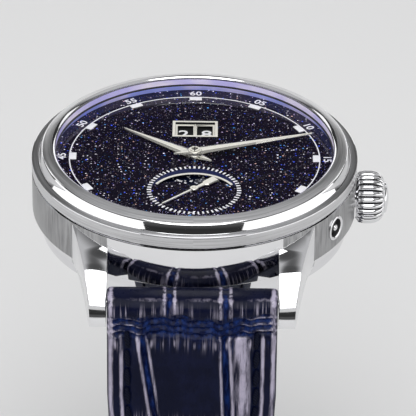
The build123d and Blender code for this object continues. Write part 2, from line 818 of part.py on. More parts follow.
# Crown, its tube and gasket, and the winding stem
crown_start = boss_face + CROWN_GAP
crown_end = crown_start + CROWN_LENGTH
crown_bore = TUBE_RADIUS + CROWN_GASKET_WALL + PLAY
bore_end = crown_start + CROWN_BORE_DEPTH
tube_end = crown_start + CROWN_GASKET_AT + CROWN_GASKET_LENGTH + CROWN_PULL
with BuildPart() as crown:
    with BuildSketch(Plane.XY.offset(crown_height)):
        with BuildLine():
            Polyline(
                (crown_start, crown_bore),
                (crown_start, CROWN_RADIUS - CROWN_FLARE),
                (crown_start + CROWN_NECK_LENGTH, CROWN_RADIUS - CROWN_HEEL),
                (crown_start + CROWN_LENGTH * HALF, CROWN_RADIUS),
                (crown_start + CROWN_SHOULDER_AT, CROWN_SHOULDER_RADIUS),
                (crown_end, CROWN_CAP_RADIUS),
                (crown_end, CROWN_BUTTON_RADIUS),
            )
            Line((crown_end, CROWN_BUTTON_RADIUS), (crown_end + CROWN_CAP_LENGTH, 0))
            Polyline(
                (crown_end + CROWN_CAP_LENGTH, 0),
                (bore_end + STEM_HOLD, 0),
                (bore_end + STEM_HOLD, STEM_RADIUS + SEAT),
                (bore_end, STEM_RADIUS + SEAT),
                (bore_end, crown_bore),
                (crown_start, crown_bore),
            )
        make_face()
    revolve(axis=Axis((0, 0, crown_height), (1, 0, 0)))
    with BuildSketch(crown_plane.offset(crown_start)):
        with PolarLocations(CROWN_RADIUS + CROWN_FLUTE_RADIUS * HALF, CROWN_FLUTES):
            Circle(CROWN_FLUTE_RADIUS)
    extrude(amount=CROWN_LENGTH, mode=Mode.SUBTRACT)
keep(crown, "crown")

with BuildPart() as crown_tube:
    with BuildSketch(crown_plane.offset(case_bore + PLAY)):
        Circle(TUBE_RADIUS)
        Circle(TUBE_RADIUS - TUBE_WALL, mode=Mode.SUBTRACT)
    extrude(amount=tube_end - case_bore - PLAY)
keep(crown_tube, "crown_tube")

with BuildPart() as crown_gasket:
    with BuildSketch(crown_plane.offset(crown_start + CROWN_GASKET_AT)):
        Circle(crown_bore - SEAT)
        Circle(TUBE_RADIUS + SEAT, mode=Mode.SUBTRACT)
    extrude(amount=CROWN_GASKET_LENGTH)
keep(crown_gasket, "crown_gasket")

with BuildPart() as winding_stem:
    with BuildSketch(crown_plane.offset(STEM_START)):
        Circle(STEM_RADIUS)
    extrude(amount=bore_end + STEM_HOLD - SEAT - STEM_START)
keep(winding_stem, "winding_stem")

# Corrector: a tube in the flank and the small button in it
corrector_end = sqrt(CASE_RADIUS**2 - CORRECTOR_RADIUS**2) - CORRECTOR_SINK
button_bore = CORRECTOR_RADIUS - CORRECTOR_WALL
button_end = corrector_end - CORRECTOR_BUTTON_SINK
tube_floor = case_bore + PLAY + CORRECTOR_FLOOR
with BuildPart() as corrector_tube:
    with BuildSketch(corrector_plane.offset(case_bore + PLAY)):
        Circle(CORRECTOR_RADIUS)
        Circle(CORRECTOR_ROD_RADIUS + PLAY, mode=Mode.SUBTRACT)
    extrude(amount=corrector_end - case_bore - PLAY)
    with BuildSketch(corrector_plane.offset(tube_floor)):
        Circle(button_bore)
    extrude(amount=corrector_end - tube_floor, mode=Mode.SUBTRACT)
keep(corrector_tube, "corrector_tube")

with BuildPart() as corrector_pusher:
    with BuildSketch(corrector_plane.offset(button_end - CORRECTOR_BUTTON_LENGTH)):
        Circle(button_bore - PLAY)
    extrude(amount=CORRECTOR_BUTTON_LENGTH)
    with BuildSketch(corrector_plane.offset(case_bore + CORRECTOR_ROD_SHORTNESS)):
        Circle(CORRECTOR_ROD_RADIUS)
    extrude(amount=button_end - CORRECTOR_BUTTON_LENGTH - case_bore - CORRECTOR_ROD_SHORTNESS)
keep(corrector_pusher, "corrector_pusher")

# Dial with its windows, and what is applied to it
cannon_bore = CENTRE_ARBOR_RADIUS + PLAY
cannon_radius = cannon_bore + CANNON_WALL
hour_pipe_bore = cannon_radius + PLAY
hour_pipe_radius = hour_pipe_bore + HOUR_PIPE_WALL
window_width = (DATE_WIDTH - 2 * DATE_RIM - DATE_BAR) * HALF
window_height = DATE_HEIGHT - 2 * DATE_RIM
window_reach = (DATE_BAR + window_width) * HALF
hump_y = -SUBDIAL_REACH - MOON_HUMP_DROP
sill_y = -SUBDIAL_REACH + MOON_WINDOW_SILL
moon_window_y = -SUBDIAL_REACH + MOON_WINDOW_TOP - MOON_WINDOW_RADIUS
with BuildPart() as dial:
    with BuildSketch(Plane.XY.offset(dial_bottom)):
        Circle(dial_radius)
        Circle(hour_pipe_radius + CENTRE_HOLE_PLAY, mode=Mode.SUBTRACT)
        with Locations(subdial_centre):
            Circle(SECONDS_ARBOR_RADIUS + CENTRE_HOLE_PLAY, mode=Mode.SUBTRACT)
        with Locations(date_centre):
            Rectangle(
                DATE_WIDTH - 2 * DATE_HOLE_MARGIN,
                DATE_HEIGHT - 2 * DATE_HOLE_MARGIN,
                mode=Mode.SUBTRACT,
            )
    extrude(amount=DIAL_THICK)
    with BuildSketch(Plane.XY.offset(dial_bottom)):
        with Locations((0, moon_window_y)):
            Circle(MOON_WINDOW_RADIUS)
        with Locations((0, hump_y)):
            Rectangle(
                4 * MOON_WINDOW_RADIUS,
                2 * MOON_WINDOW_RADIUS,
                align=(Align.CENTER, Align.MAX),
                mode=Mode.SUBTRACT,
            )
        for side in (1, -1):
            with Locations((side * MOON_HUMP_REACH, hump_y)):
                Circle(MOON_HUMP_RADIUS, mode=Mode.SUBTRACT)
            with Locations((side * (MOON_HUMP_REACH + MOON_WINDOW_RADIUS), sill_y)):
                Rectangle(
                    2 * MOON_WINDOW_RADIUS,
                    2 * MOON_WINDOW_RADIUS,
                    align=(Align.CENTER, Align.MAX),
                    mode=Mode.SUBTRACT,
                )
    extrude(amount=DIAL_THICK, mode=Mode.SUBTRACT)
keep(dial, "dial")

marker_reach = track_radius - MARKER_GAP - MARKER_LENGTH * HALF
with BuildPart() as hour_markers:
    with BuildSketch(Plane.XY.offset(DIAL_TOP)):
        with PolarLocations(marker_reach, 12):
            Rectangle(MARKER_LENGTH, MARKER_WIDTH)
    extrude(amount=MARKER_HEIGHT)
keep(hour_markers, "hour_markers")

with BuildPart() as date_frame:
    with BuildSketch(Plane((*date_centre, DIAL_TOP))):
        Rectangle(DATE_WIDTH, DATE_HEIGHT)
        for side in (1, -1):
            with Locations((side * window_reach, 0)):
                Rectangle(window_width, window_height, mode=Mode.SUBTRACT)
    extrude(amount=DATE_FRAME_STEP)
    with BuildSketch(Plane((*date_centre, DIAL_TOP + DATE_FRAME_STEP))):
        Rectangle(DATE_WIDTH, DATE_HEIGHT)
        Rectangle(DATE_WIDTH - DATE_RIM, DATE_HEIGHT - DATE_RIM, mode=Mode.SUBTRACT)
    extrude(amount=DATE_FRAME_THICK - DATE_FRAME_STEP)
keep(date_frame, "date_frame")

arc_top = -SUBDIAL_REACH + MOON_ARC_TOP
arc_end = arc_top - MOON_ARC_RISE
with BuildPart() as moon_arc:
    with BuildSketch(Plane.XY.offset(DIAL_TOP)):
        with BuildLine():
            ThreePointArc((-MOON_ARC_REACH, arc_end), (0, arc_top), (MOON_ARC_REACH, arc_end))
            ThreePointArc(
                (MOON_ARC_REACH, arc_end),
                (0, arc_top - MOON_ARC_WIDTH),
                (-MOON_ARC_REACH, arc_end),
            )
        make_face()
    extrude(amount=MOON_ARC_THICK)
keep(moon_arc, "moon_arc")

# Discs under the dial
disc_places = {"date_units_disc": DATE_DISC_REACH, "date_tens_disc": -DATE_DISC_REACH}
for disc_name, disc_x in disc_places.items():
    with BuildPart() as date_disc:
        extrude(
            disc_face(
                (disc_x, DATE_REACH), disc_bottom, DATE_DISC_RADIUS, DISC_POST_RADIUS + PLAY
            ),
            amount=DISC_THICK,
        )
    keep(date_disc, disc_name)

with BuildPart() as moon_disc:
    extrude(
        disc_face(subdial_centre, disc_bottom, MOON_DISC_RADIUS, MOON_POST_RADIUS + PLAY),
        amount=DISC_THICK,
    )
keep(moon_disc, "moon_disc")


def pointed_hand(angle, low, length, tail, width, bore):
    """A dauphine hand: a long kite with a pointed tail, round its bore."""
    blade = [
        (length, HAND_TIP_WIDTH * HALF),
        (HAND_SHOULDER, width * HALF),
        (-tail, HAND_TIP_WIDTH * HALF),
        (-tail, -HAND_TIP_WIDTH * HALF),
        (HAND_SHOULDER, -width * HALF),
        (length, -HAND_TIP_WIDTH * HALF),
    ]
    direction = clock(angle)
    with BuildPart() as piece:
        with BuildSketch(Plane.XY.offset(low).rotated((0, 0, direction))):
            with BuildLine():
                Polyline(*blade, close=True)
            make_face()
            Circle(bore + HAND_THICK)
            Circle(bore, mode=Mode.SUBTRACT)
        extrude(amount=HAND_THICK)
    return piece


# Hands
hour_hand_low = DIAL_TOP + HOUR_HAND_RISE
minute_hand_low = DIAL_TOP + MINUTE_HAND_RISE
minute_hand_top = minute_hand_low + HAND_THICK
hour_hand = pointed_hand(
    HOUR_ANGLE,
    hour_hand_low,
    track_radius - HOUR_HAND_SHORTNESS,
    HOUR_HAND_TAIL,
    HOUR_HAND_WIDTH,
    hour_pipe_radius + SEAT,
)
keep(hour_hand, "hour_hand")
minute_hand = pointed_hand(
    MINUTE_ANGLE,
    minute_hand_low,
    track_radius + MINUTE_HAND_OVERREACH,
    MINUTE_HAND_TAIL,
    MINUTE_HAND_WIDTH,
    cannon_radius + SEAT,
)
keep(minute_hand, "minute_hand")

with BuildPart() as hand_nut:
    extrude(disc_face((0, 0), minute_hand_top, HAND_NUT_RADIUS), amount=HAND_NUT_HEIGHT)
    chamfer(hand_nut.edges().group_by(Axis.Z)[-1], length=HAND_NUT_HEIGHT * HALF)
keep(hand_nut, "hand_nut")

seconds_low = DIAL_TOP + SECONDS_HAND_RISE
seconds_plane = Plane((*subdial_centre, seconds_low)).rotated((0, 0, clock(SECONDS_ANGLE)))
with BuildPart() as small_seconds_hand:
    with BuildSketch(seconds_plane):
        with BuildLine():
            Polyline(
                (SECONDS_TIP, SECONDS_WIDTH * HALF * HALF),
                (0, SECONDS_WIDTH * HALF),
                (-SECONDS_TAIL_FLARE_AT, SECONDS_WIDTH * HALF),
                (-SECONDS_TAIL, SECONDS_TAIL_WIDTH * HALF),
                (-SECONDS_TAIL + SECONDS_TAIL_NOTCH, 0),
                (-SECONDS_TAIL, -SECONDS_TAIL_WIDTH * HALF),
                (-SECONDS_TAIL_FLARE_AT, -SECONDS_WIDTH * HALF),
                (0, -SECONDS_WIDTH * HALF),
                (SECONDS_TIP, -SECONDS_WIDTH * HALF * HALF),
                close=True,
            )
        make_face()
        Circle(SECONDS_HUB_RADIUS)
        Circle(SECONDS_ARBOR_RADIUS + SEAT, mode=Mode.SUBTRACT)
    extrude(amount=SECONDS_HAND_THICK)
keep(small_seconds_hand, "small_seconds_hand")

# Places of the arbors, each found from the one before it
third_distance = pitch_radius(CENTRE_TEETH + TRAIN_PINION_TEETH, TRAIN_MODULE)
barrel_distance = pitch_radius(BARREL_TEETH + CENTRE_PINION_TEETH, BARREL_MODULE)
escape_distance = pitch_radius(FOURTH_TEETH + ESCAPE_PINION_TEETH, FOURTH_MODULE)
winding_distance = pitch_radius(RATCHET_TEETH + CROWN_WHEEL_TEETH, WINDING_MODULE) + PLAY
fourth_distance = pitch_radius(THIRD_TEETH + TRAIN_PINION_TEETH, TRAIN_MODULE)
centre_arbor = (0, 0)
fourth_arbor = subdial_centre
third_y = -(SUBDIAL_REACH**2 + third_distance**2 - fourth_distance**2) / (2 * SUBDIAL_REACH)
third_arbor = (-sqrt(third_distance**2 - third_y**2), third_y)
barrel_arbor_place = polar(centre_arbor, barrel_distance, BARREL_ANGLE)
escape_arbor = polar(fourth_arbor, escape_distance, ESCAPE_ANGLE)
pallet_arbor = polar(escape_arbor, PALLET_DISTANCE, PALLET_ANGLE)
balance_arbor = polar(pallet_arbor, BALANCE_DISTANCE, BALANCE_ANGLE)
crown_wheel_place = (
    barrel_arbor_place[0] + sqrt(winding_distance**2 - barrel_arbor_place[1] ** 2),
    0,
)
minute_distance = pitch_radius(CANNON_TEETH + MINUTE_WHEEL_TEETH, MOTION_MODULE)
minute_arbor = (minute_distance, 0)


def below_plate(level, height):
    """Lower face of something that starts a level below the plate."""
    return plate_bottom - level - height


def arbor(place, radius, low, high):
    """A plain shaft between two heights."""
    extrude(disc_face(place, low, radius), amount=high - low)


pivot_depth = PLATE_THICK * HALF

with BuildPart() as centre_wheel:
    arbor(centre_arbor, CENTRE_ARBOR_RADIUS, bridge_top, minute_hand_low)
    arbor(centre_arbor, PIVOT_RADIUS, bridge_bottom, bridge_top)
    centre_phase, third_pinion_phase = mesh_phases(centre_arbor, third_arbor, TRAIN_PINION_TEETH)
    extrude(
        gear_face(
            centre_arbor,
            below_plate(CENTRE_WHEEL_LEVEL, WHEEL_THICK),
            CENTRE_TEETH,
            TRAIN_MODULE,
            centre_phase,
            windows=5,
        ),
        amount=WHEEL_THICK,
    )
    centre_pinion_phase, barrel_phase = mesh_phases(centre_arbor, barrel_arbor_place, BARREL_TEETH)
    extrude(
        gear_face(
            centre_arbor,
            below_plate(CENTRE_PINION_LEVEL, CENTRE_PINION_LENGTH),
            CENTRE_PINION_TEETH,
            BARREL_MODULE,
            centre_pinion_phase,
        ),
        amount=CENTRE_PINION_LENGTH,
    )
keep(centre_wheel, "centre_wheel")


def train_wheel(place, name, shaft_top, wheel, pinion):
    """An arbor with a wheel and a pinion, each given by teeth, module, level and phase."""
    with BuildPart() as piece:
        arbor(place, ARBOR_RADIUS, bridge_top, plate_bottom)
        arbor(place, PIVOT_RADIUS, bridge_bottom, shaft_top)
        teeth, module, level, phase = wheel
        extrude(
            gear_face(place, below_plate(level, WHEEL_THICK), teeth, module, phase, windows=5),
            amount=WHEEL_THICK,
        )
        teeth, module, level, phase = pinion
        length = WHEEL_THICK + 2 * PINION_MARGIN
        extrude(
            gear_face(
                place, below_plate(level - PINION_MARGIN, length), teeth, module, phase
            ),
            amount=length,
        )
    keep(piece, name)


third_phase, fourth_pinion_phase = mesh_phases(third_arbor, fourth_arbor, TRAIN_PINION_TEETH)
fourth_phase, escape_pinion_phase = mesh_phases(fourth_arbor, escape_arbor, ESCAPE_PINION_TEETH)
train_wheel(
    third_arbor,
    "third_wheel",
    plate_bottom + pivot_depth,
    (THIRD_TEETH, TRAIN_MODULE, THIRD_WHEEL_LEVEL, third_phase),
    (TRAIN_PINION_TEETH, TRAIN_MODULE, CENTRE_WHEEL_LEVEL, third_pinion_phase),
)
train_wheel(
    fourth_arbor,
    "fourth_wheel",
    seconds_low + SECONDS_HAND_THICK,
    (FOURTH_TEETH, FOURTH_MODULE, FOURTH_WHEEL_LEVEL, fourth_phase),
    (TRAIN_PINION_TEETH, TRAIN_MODULE, THIRD_WHEEL_LEVEL, fourth_pinion_phase),
)

# Escape wheel, pallet fork, balance and hairspring
escape_low = below_plate(ESCAPE_WHEEL_LEVEL, WHEEL_THICK)
escape_root = ESCAPE_RADIUS - ESCAPE_TOOTH_DEPTH
escape_step = 360 / ESCAPE_TEETH
escape_points = []
for number in range(ESCAPE_TEETH):
    start = number * escape_step
    escape_points.append(polar((0, 0), escape_root, start))
    escape_points.append(
        polar((0, 0), ESCAPE_RADIUS, start + escape_step * ESCAPE_TOOTH_LEAN_SHARE)
    )
    escape_points.append(
        polar((0, 0), escape_root, start + escape_step * ESCAPE_TOOTH_LEAN_SHARE)
    )
with BuildPart() as escape_wheel:
    arbor(escape_arbor, ARBOR_RADIUS, bridge_top, plate_bottom)
    arbor(escape_arbor, PIVOT_RADIUS, bridge_bottom, plate_bottom + pivot_depth)
    with BuildSketch(Plane((*escape_arbor, escape_low))):
        with BuildLine():
            Polyline(*escape_points, close=True)
        make_face()
        with PolarLocations(escape_root * HALF, 4):
            Circle(escape_root * HALF * HALF, mode=Mode.SUBTRACT)
        Circle(ARBOR_RADIUS + PIVOT_RADIUS)
    extrude(amount=WHEEL_THICK)
    pinion_length = WHEEL_THICK + 2 * PINION_MARGIN
    extrude(
        gear_face(
            escape_arbor,
            below_plate(FOURTH_WHEEL_LEVEL - PINION_MARGIN, pinion_length),
            ESCAPE_PINION_TEETH,
            FOURTH_MODULE,
            escape_pinion_phase,
        ),
        amount=pinion_length,
    )
keep(escape_wheel, "escape_wheel")

pallet_reach = ESCAPE_RADIUS + PALLET_CLEAR + PALLET_WIDTH * HALF
pallet_x = pallet_reach * cos(radians(PALLET_SPAN)) - PALLET_DISTANCE
pallet_y = pallet_reach * sin(radians(PALLET_SPAN))
with BuildPart() as pallet_fork:
    arbor(pallet_arbor, ARBOR_RADIUS, escape_low, plate_bottom)
    arbor(pallet_arbor, PIVOT_RADIUS, escape_low, plate_bottom + pivot_depth)
    with BuildSketch(Plane((*pallet_arbor, escape_low)).rotated((0, 0, PALLET_ANGLE))):
        Circle(2 * ARBOR_RADIUS)
        for side in (1, -1):
            with Locations((pallet_x, side * pallet_y)):
                Circle(PALLET_WIDTH * HALF)
            with BuildLine():
                Polyline(
                    (0, PALLET_ARM_WIDTH * HALF),
                    (pallet_x, side * pallet_y + PALLET_ARM_WIDTH * HALF),
                    (pallet_x, side * pallet_y - PALLET_ARM_WIDTH * HALF),
                    (0, -PALLET_ARM_WIDTH * HALF),
                    close=True,
                )
            make_face()
    extrude(amount=WHEEL_THICK)
    with BuildSketch(Plane((*pallet_arbor, escape_low)).rotated((0, 0, BALANCE_ANGLE))):
        with BuildLine():
            Polyline(
                (0, PALLET_ARM_WIDTH * HALF),
                (FORK_LENGTH - FORK_HORN, PALLET_ARM_WIDTH * HALF),
                (FORK_LENGTH, FORK_HORN),
                (FORK_LENGTH, FORK_SLOT * HALF),
                (FORK_LENGTH - FORK_HORN, FORK_SLOT * HALF),
                (FORK_LENGTH - FORK_HORN, -FORK_SLOT * HALF),
                (FORK_LENGTH, -FORK_SLOT * HALF),
                (FORK_LENGTH, -FORK_HORN),
                (FORK_LENGTH - FORK_HORN, -PALLET_ARM_WIDTH * HALF),
                (0, -PALLET_ARM_WIDTH * HALF),
                close=True,
            )
        make_face()
    extrude(amount=WHEEL_THICK)
keep(pallet_fork, "pallet_fork")

balance_low = below_plate(BALANCE_LEVEL, BALANCE_THICK)
with BuildPart() as balance_wheel:
    arbor(balance_arbor, ARBOR_RADIUS, bridge_top, plate_bottom)
    arbor(balance_arbor, PIVOT_RADIUS, bridge_bottom, plate_bottom + pivot_depth)
    extrude(disc_face(balance_arbor, escape_low, ROLLER_RADIUS), amount=ROLLER_HEIGHT)
    with BuildSketch(Plane((*balance_arbor, balance_low))):
        Circle(BALANCE_RADIUS)
        Circle(BALANCE_RADIUS - BALANCE_RIM, mode=Mode.SUBTRACT)
        with PolarLocations(0, BALANCE_SPOKES):
            Rectangle(
                BALANCE_RADIUS - BALANCE_RIM * HALF,
                BALANCE_SPOKE,
                align=(Align.MIN, Align.CENTER),
            )
        Circle(2 * ARBOR_RADIUS)
    extrude(amount=BALANCE_THICK)
keep(balance_wheel, "balance_wheel")

hairspring_low = balance_low - HAIRSPRING_GAP - HAIRSPRING_HEIGHT
with BuildPart() as hairspring:
    extrude(
        spiral_face(
            balance_arbor,
            hairspring_low,
            HAIRSPRING_INNER,
            HAIRSPRING_OUTER,
            HAIRSPRING_TURNS,
            HAIRSPRING_THICK,
        ),
        amount=HAIRSPRING_HEIGHT,
    )
keep(hairspring, "hairspring")

# Barrel, mainspring and the winding wheels
barrel_low = below_plate(BARREL_LEVEL, BARREL_HEIGHT)
drum_radius = pitch_radius(BARREL_TEETH, BARREL_MODULE) - BARREL_DRUM_INSET
arbor_bore = BARREL_ARBOR_RADIUS + PLAY
with BuildPart() as mainspring_barrel:
    extrude(
        disc_face(barrel_arbor_place, barrel_low, drum_radius, arbor_bore), amount=BARREL_HEIGHT
    )
    extrude(
        gear_face(
            barrel_arbor_place,
            below_plate(BARREL_TOOTH_LEVEL, BARREL_TOOTH_HEIGHT),
            BARREL_TEETH,
            BARREL_MODULE,
            barrel_phase,
            bore=drum_radius - BARREL_WALL,
        ),
        amount=BARREL_TOOTH_HEIGHT,
    )
    extrude(
        disc_face(barrel_arbor_place, barrel_low + BARREL_WALL, drum_radius - BARREL_WALL),
        amount=BARREL_HEIGHT - 2 * BARREL_WALL,
        mode=Mode.SUBTRACT,
    )
keep(mainspring_barrel, "mainspring_barrel")

with BuildPart() as mainspring:
    extrude(
        spiral_face(
            barrel_arbor_place,
            barrel_low + BARREL_WALL + PLAY,
            BARREL_HUB_RADIUS + PLAY,
            drum_radius - BARREL_WALL - MAINSPRING_THICK - MAINSPRING_MARGIN,
            MAINSPRING_TURNS,
            MAINSPRING_THICK,
        ),
        amount=BARREL_HEIGHT - 2 * BARREL_WALL - 2 * PLAY,
    )
keep(mainspring, "mainspring")

winding_wheel_low = bridge_bottom - WINDING_WHEEL_GAP - WINDING_WHEEL_THICK
with BuildPart() as barrel_arbor:
    arbor(barrel_arbor_place, BARREL_ARBOR_RADIUS, bridge_bottom, plate_bottom + pivot_depth)
    arbor(
        barrel_arbor_place,
        BARREL_HUB_RADIUS,
        barrel_low + BARREL_WALL + PLAY,
        barrel_low + BARREL_HEIGHT - BARREL_WALL - PLAY,
    )
    with BuildSketch(Plane((*barrel_arbor_place, winding_wheel_low))):
        Rectangle(RATCHET_SQUARE, RATCHET_SQUARE)
    extrude(amount=WINDING_WHEEL_GAP + WINDING_WHEEL_THICK)
keep(barrel_arbor, "barrel_arbor")

ratchet_phase, crown_wheel_phase = mesh_phases(
    barrel_arbor_place, crown_wheel_place, CROWN_WHEEL_TEETH
)
with BuildPart() as ratchet_wheel:
    extrude(
        gear_face(
            barrel_arbor_place, winding_wheel_low, RATCHET_TEETH, WINDING_MODULE, ratchet_phase
        ),
        amount=WINDING_WHEEL_THICK,
    )
    with BuildSketch(Plane((*barrel_arbor_place, winding_wheel_low))):
        Rectangle(RATCHET_SQUARE + 2 * SEAT, RATCHET_SQUARE + 2 * SEAT)
    extrude(amount=WINDING_WHEEL_THICK, mode=Mode.SUBTRACT)
keep(ratchet_wheel, "ratchet_wheel")

with BuildPart() as crown_wheel:
    extrude(
        gear_face(
            crown_wheel_place,
            winding_wheel_low,
            CROWN_WHEEL_TEETH,
            WINDING_MODULE,
            crown_wheel_phase,
            bore=CROWN_WHEEL_POST_RADIUS + PLAY,
        ),
        amount=WINDING_WHEEL_THICK,
    )
keep(crown_wheel, "crown_wheel")

with BuildPart() as winding_pinion:
    with BuildSketch(crown_plane.offset(WINDING_PINION_START)):
        with BuildLine():
            Polyline(*tooth_points(WINDING_PINION_TEETH, WINDING_MODULE, 0), close=True)
        make_face()
        Circle(STEM_RADIUS + PLAY, mode=Mode.SUBTRACT)
    extrude(amount=WINDING_PINION_LENGTH)
keep(winding_pinion, "winding_pinion")

# Motion works
minute_wheel_low = plate_top + MINUTE_WHEEL_RISE
cannon_phase, minute_phase = mesh_phases(centre_arbor, minute_arbor, MINUTE_WHEEL_TEETH)
hour_wheel_low = plate_top + HOUR_WHEEL_RISE
with BuildPart() as cannon_pinion:
    extrude(
        gear_face(
            centre_arbor,
            minute_wheel_low - PINION_MARGIN,
            CANNON_TEETH,
            MOTION_MODULE,
            cannon_phase,
            bore=cannon_bore,
        ),
        amount=CANNON_TEETH_LENGTH,
    )
    extrude(
        disc_face(centre_arbor, plate_top + PLAY, cannon_radius, cannon_bore),
        amount=minute_hand_top - plate_top - PLAY,
    )
keep(cannon_pinion, "cannon_pinion")

minute_post_radius = ARBOR_RADIUS
minute_pinion_phase, hour_phase = mesh_phases(minute_arbor, centre_arbor, HOUR_WHEEL_TEETH)
with BuildPart() as minute_wheel:
    extrude(
        gear_face(
            minute_arbor,
            minute_wheel_low,
            MINUTE_WHEEL_TEETH,
            MOTION_MODULE,
            minute_phase,
            bore=minute_post_radius + PLAY,
        ),
        amount=WHEEL_THICK,
    )
    extrude(
        gear_face(
            minute_arbor,
            minute_wheel_low + WHEEL_THICK,
            MINUTE_PINION_TEETH,
            HOUR_MODULE,
            minute_pinion_phase,
            bore=minute_post_radius + PLAY,
        ),
        amount=MINUTE_PINION_LENGTH,
    )
keep(minute_wheel, "minute_wheel")

with BuildPart() as hour_wheel:
    extrude(
        gear_face(
            centre_arbor,
            hour_wheel_low,
            HOUR_WHEEL_TEETH,
            HOUR_MODULE,
            hour_phase,
            bore=hour_pipe_bore,
        ),
        amount=WHEEL_THICK,
    )
    extrude(
        disc_face(centre_arbor, hour_wheel_low, hour_pipe_radius, hour_pipe_bore),
        amount=hour_hand_low + HAND_THICK - hour_wheel_low,
    )
keep(hour_wheel, "hour_wheel")

# Main plate, its spacer ring, the bridges and their jewels and screws
stem_hole = STEM_RADIUS + CENTRE_HOLE_PLAY
plate_pivots = (third_arbor, escape_arbor, pallet_arbor, balance_arbor)
with BuildPart() as main_plate:
    with BuildSketch(Plane.XY.offset(plate_bottom)):
        Circle(plate_radius)
        Circle(CENTRE_ARBOR_RADIUS + PLAY, mode=Mode.SUBTRACT)
        with Locations(subdial_centre):
            Circle(PIVOT_RADIUS + PLAY, mode=Mode.SUBTRACT)
    extrude(amount=PLATE_THICK)
    with BuildSketch(Plane.XY.offset(plate_bottom - PLATE_RIM_HEIGHT)):
        Circle(plate_radius)
        Circle(plate_radius - PLATE_RIM_WALL, mode=Mode.SUBTRACT)
    extrude(amount=PLATE_RIM_HEIGHT)
    for disc_x in (DATE_DISC_REACH, -DATE_DISC_REACH):
        arbor((disc_x, DATE_REACH), DISC_POST_RADIUS, plate_top, disc_top)
    extrude(
        disc_face(subdial_centre, plate_top, MOON_POST_RADIUS, PIVOT_RADIUS + PLAY),
        amount=disc_top - plate_top,
    )
    arbor(
        minute_arbor,
        minute_post_radius,
        plate_top,
        minute_wheel_low + WHEEL_THICK + MINUTE_PINION_LENGTH,
    )
    with BuildSketch(Plane.XY.offset(plate_bottom)):
        with Locations(*plate_pivots):
            Circle(PIVOT_RADIUS + PLAY)
        with Locations(barrel_arbor_place):
            Circle(arbor_bore)
    extrude(amount=pivot_depth + PLAY, mode=Mode.SUBTRACT)
    with BuildSketch(crown_plane.offset(plate_radius - PLATE_RIM_WALL - OVERRUN)):
        Circle(stem_hole)
    extrude(amount=PLATE_RIM_WALL + 2 * OVERRUN, mode=Mode.SUBTRACT)
keep(main_plate, "main_plate")

ring_radius = case_bore - PLAY
date_disc_sweep = hypot(DATE_DISC_REACH, DATE_REACH) + DATE_DISC_RADIUS
with BuildPart() as movement_ring:
    with BuildSketch(Plane.XY.offset(shoulder)):
        Circle(ring_radius)
        Circle(plate_radius + PLAY, mode=Mode.SUBTRACT)
    extrude(amount=plate_top - shoulder)
    with BuildSketch(Plane.XY.offset(plate_top)):
        Circle(ring_radius)
        Circle(plate_radius - RING_LEDGE, mode=Mode.SUBTRACT)
    extrude(amount=RING_LEDGE_HEIGHT)
    with BuildSketch(Plane.XY.offset(plate_top + RING_LEDGE_HEIGHT)):
        Circle(ring_radius)
        Circle(date_disc_sweep + PLAY, mode=Mode.SUBTRACT)
    extrude(amount=dial_bottom - plate_top - RING_LEDGE_HEIGHT)
    with BuildSketch(crown_plane.offset(plate_radius - OVERRUN)):
        Circle(stem_hole)
    extrude(amount=ring_radius - plate_radius + 2 * OVERRUN, mode=Mode.SUBTRACT)
    with BuildSketch(corrector_plane.offset(plate_radius - OVERRUN)):
        Circle(CORRECTOR_ROD_RADIUS + CENTRE_HOLE_PLAY)
    extrude(amount=ring_radius - plate_radius + 2 * OVERRUN, mode=Mode.SUBTRACT)
keep(movement_ring, "movement_ring")

pillar_reach = bridge_radius - 2 * PILLAR_RADIUS
barrel_pillars = [polar((0, 0), pillar_reach, angle) for angle in BARREL_PILLAR_ANGLES]
train_pillars = [polar((0, 0), pillar_reach, angle) for angle in TRAIN_PILLAR_ANGLES]
cock_foot = polar((0, 0), bridge_radius - COCK_FOOT_INSET, COCK_FOOT_ANGLE)
cock_pillars = [cock_foot]


def pillars(places):
    """Feet of a bridge, bored for their screws."""
    for place in places:
        extrude(
            disc_face(place, bridge_top, PILLAR_RADIUS, SCREW_RADIUS + SEAT), amount=TRAIN_HEIGHT
        )


def screw_holes(places):
    """Holes through a bridge for its screws."""
    for place in places:
        extrude(
            disc_face(place, bridge_bottom, SCREW_RADIUS + SEAT),
            amount=BRIDGE_THICK,
            mode=Mode.SUBTRACT,
        )


with BuildPart() as barrel_bridge:
    with BuildSketch(Plane.XY.offset(bridge_bottom)):
        Circle(bridge_radius)
        with Locations((0, BRIDGE_SEAM)):
            Rectangle(
                2 * bridge_radius + OVERRUN,
                2 * bridge_radius,
                align=(Align.CENTER, Align.MAX),
                mode=Mode.SUBTRACT,
            )
        with Locations(crown_wheel_place):
            Circle(CROWN_WHEEL_LOBE_RADIUS)
            Rectangle(
                2 * CROWN_WHEEL_LOBE_RADIUS,
                BRIDGE_SEAM + CROWN_WHEEL_POST_RADIUS,
                align=(Align.CENTER, Align.MIN),
            )
        with Locations(barrel_arbor_place):
            Circle(arbor_bore, mode=Mode.SUBTRACT)
    extrude(amount=BRIDGE_THICK)
    extrude(
        disc_face(
            crown_wheel_place,
            winding_wheel_low,
            CROWN_WHEEL_POST_RADIUS,
        ),
        amount=WINDING_WHEEL_GAP + WINDING_WHEEL_THICK,
    )
    screw_holes(barrel_pillars)
    pillars(barrel_pillars)
keep(barrel_bridge, "barrel_bridge")

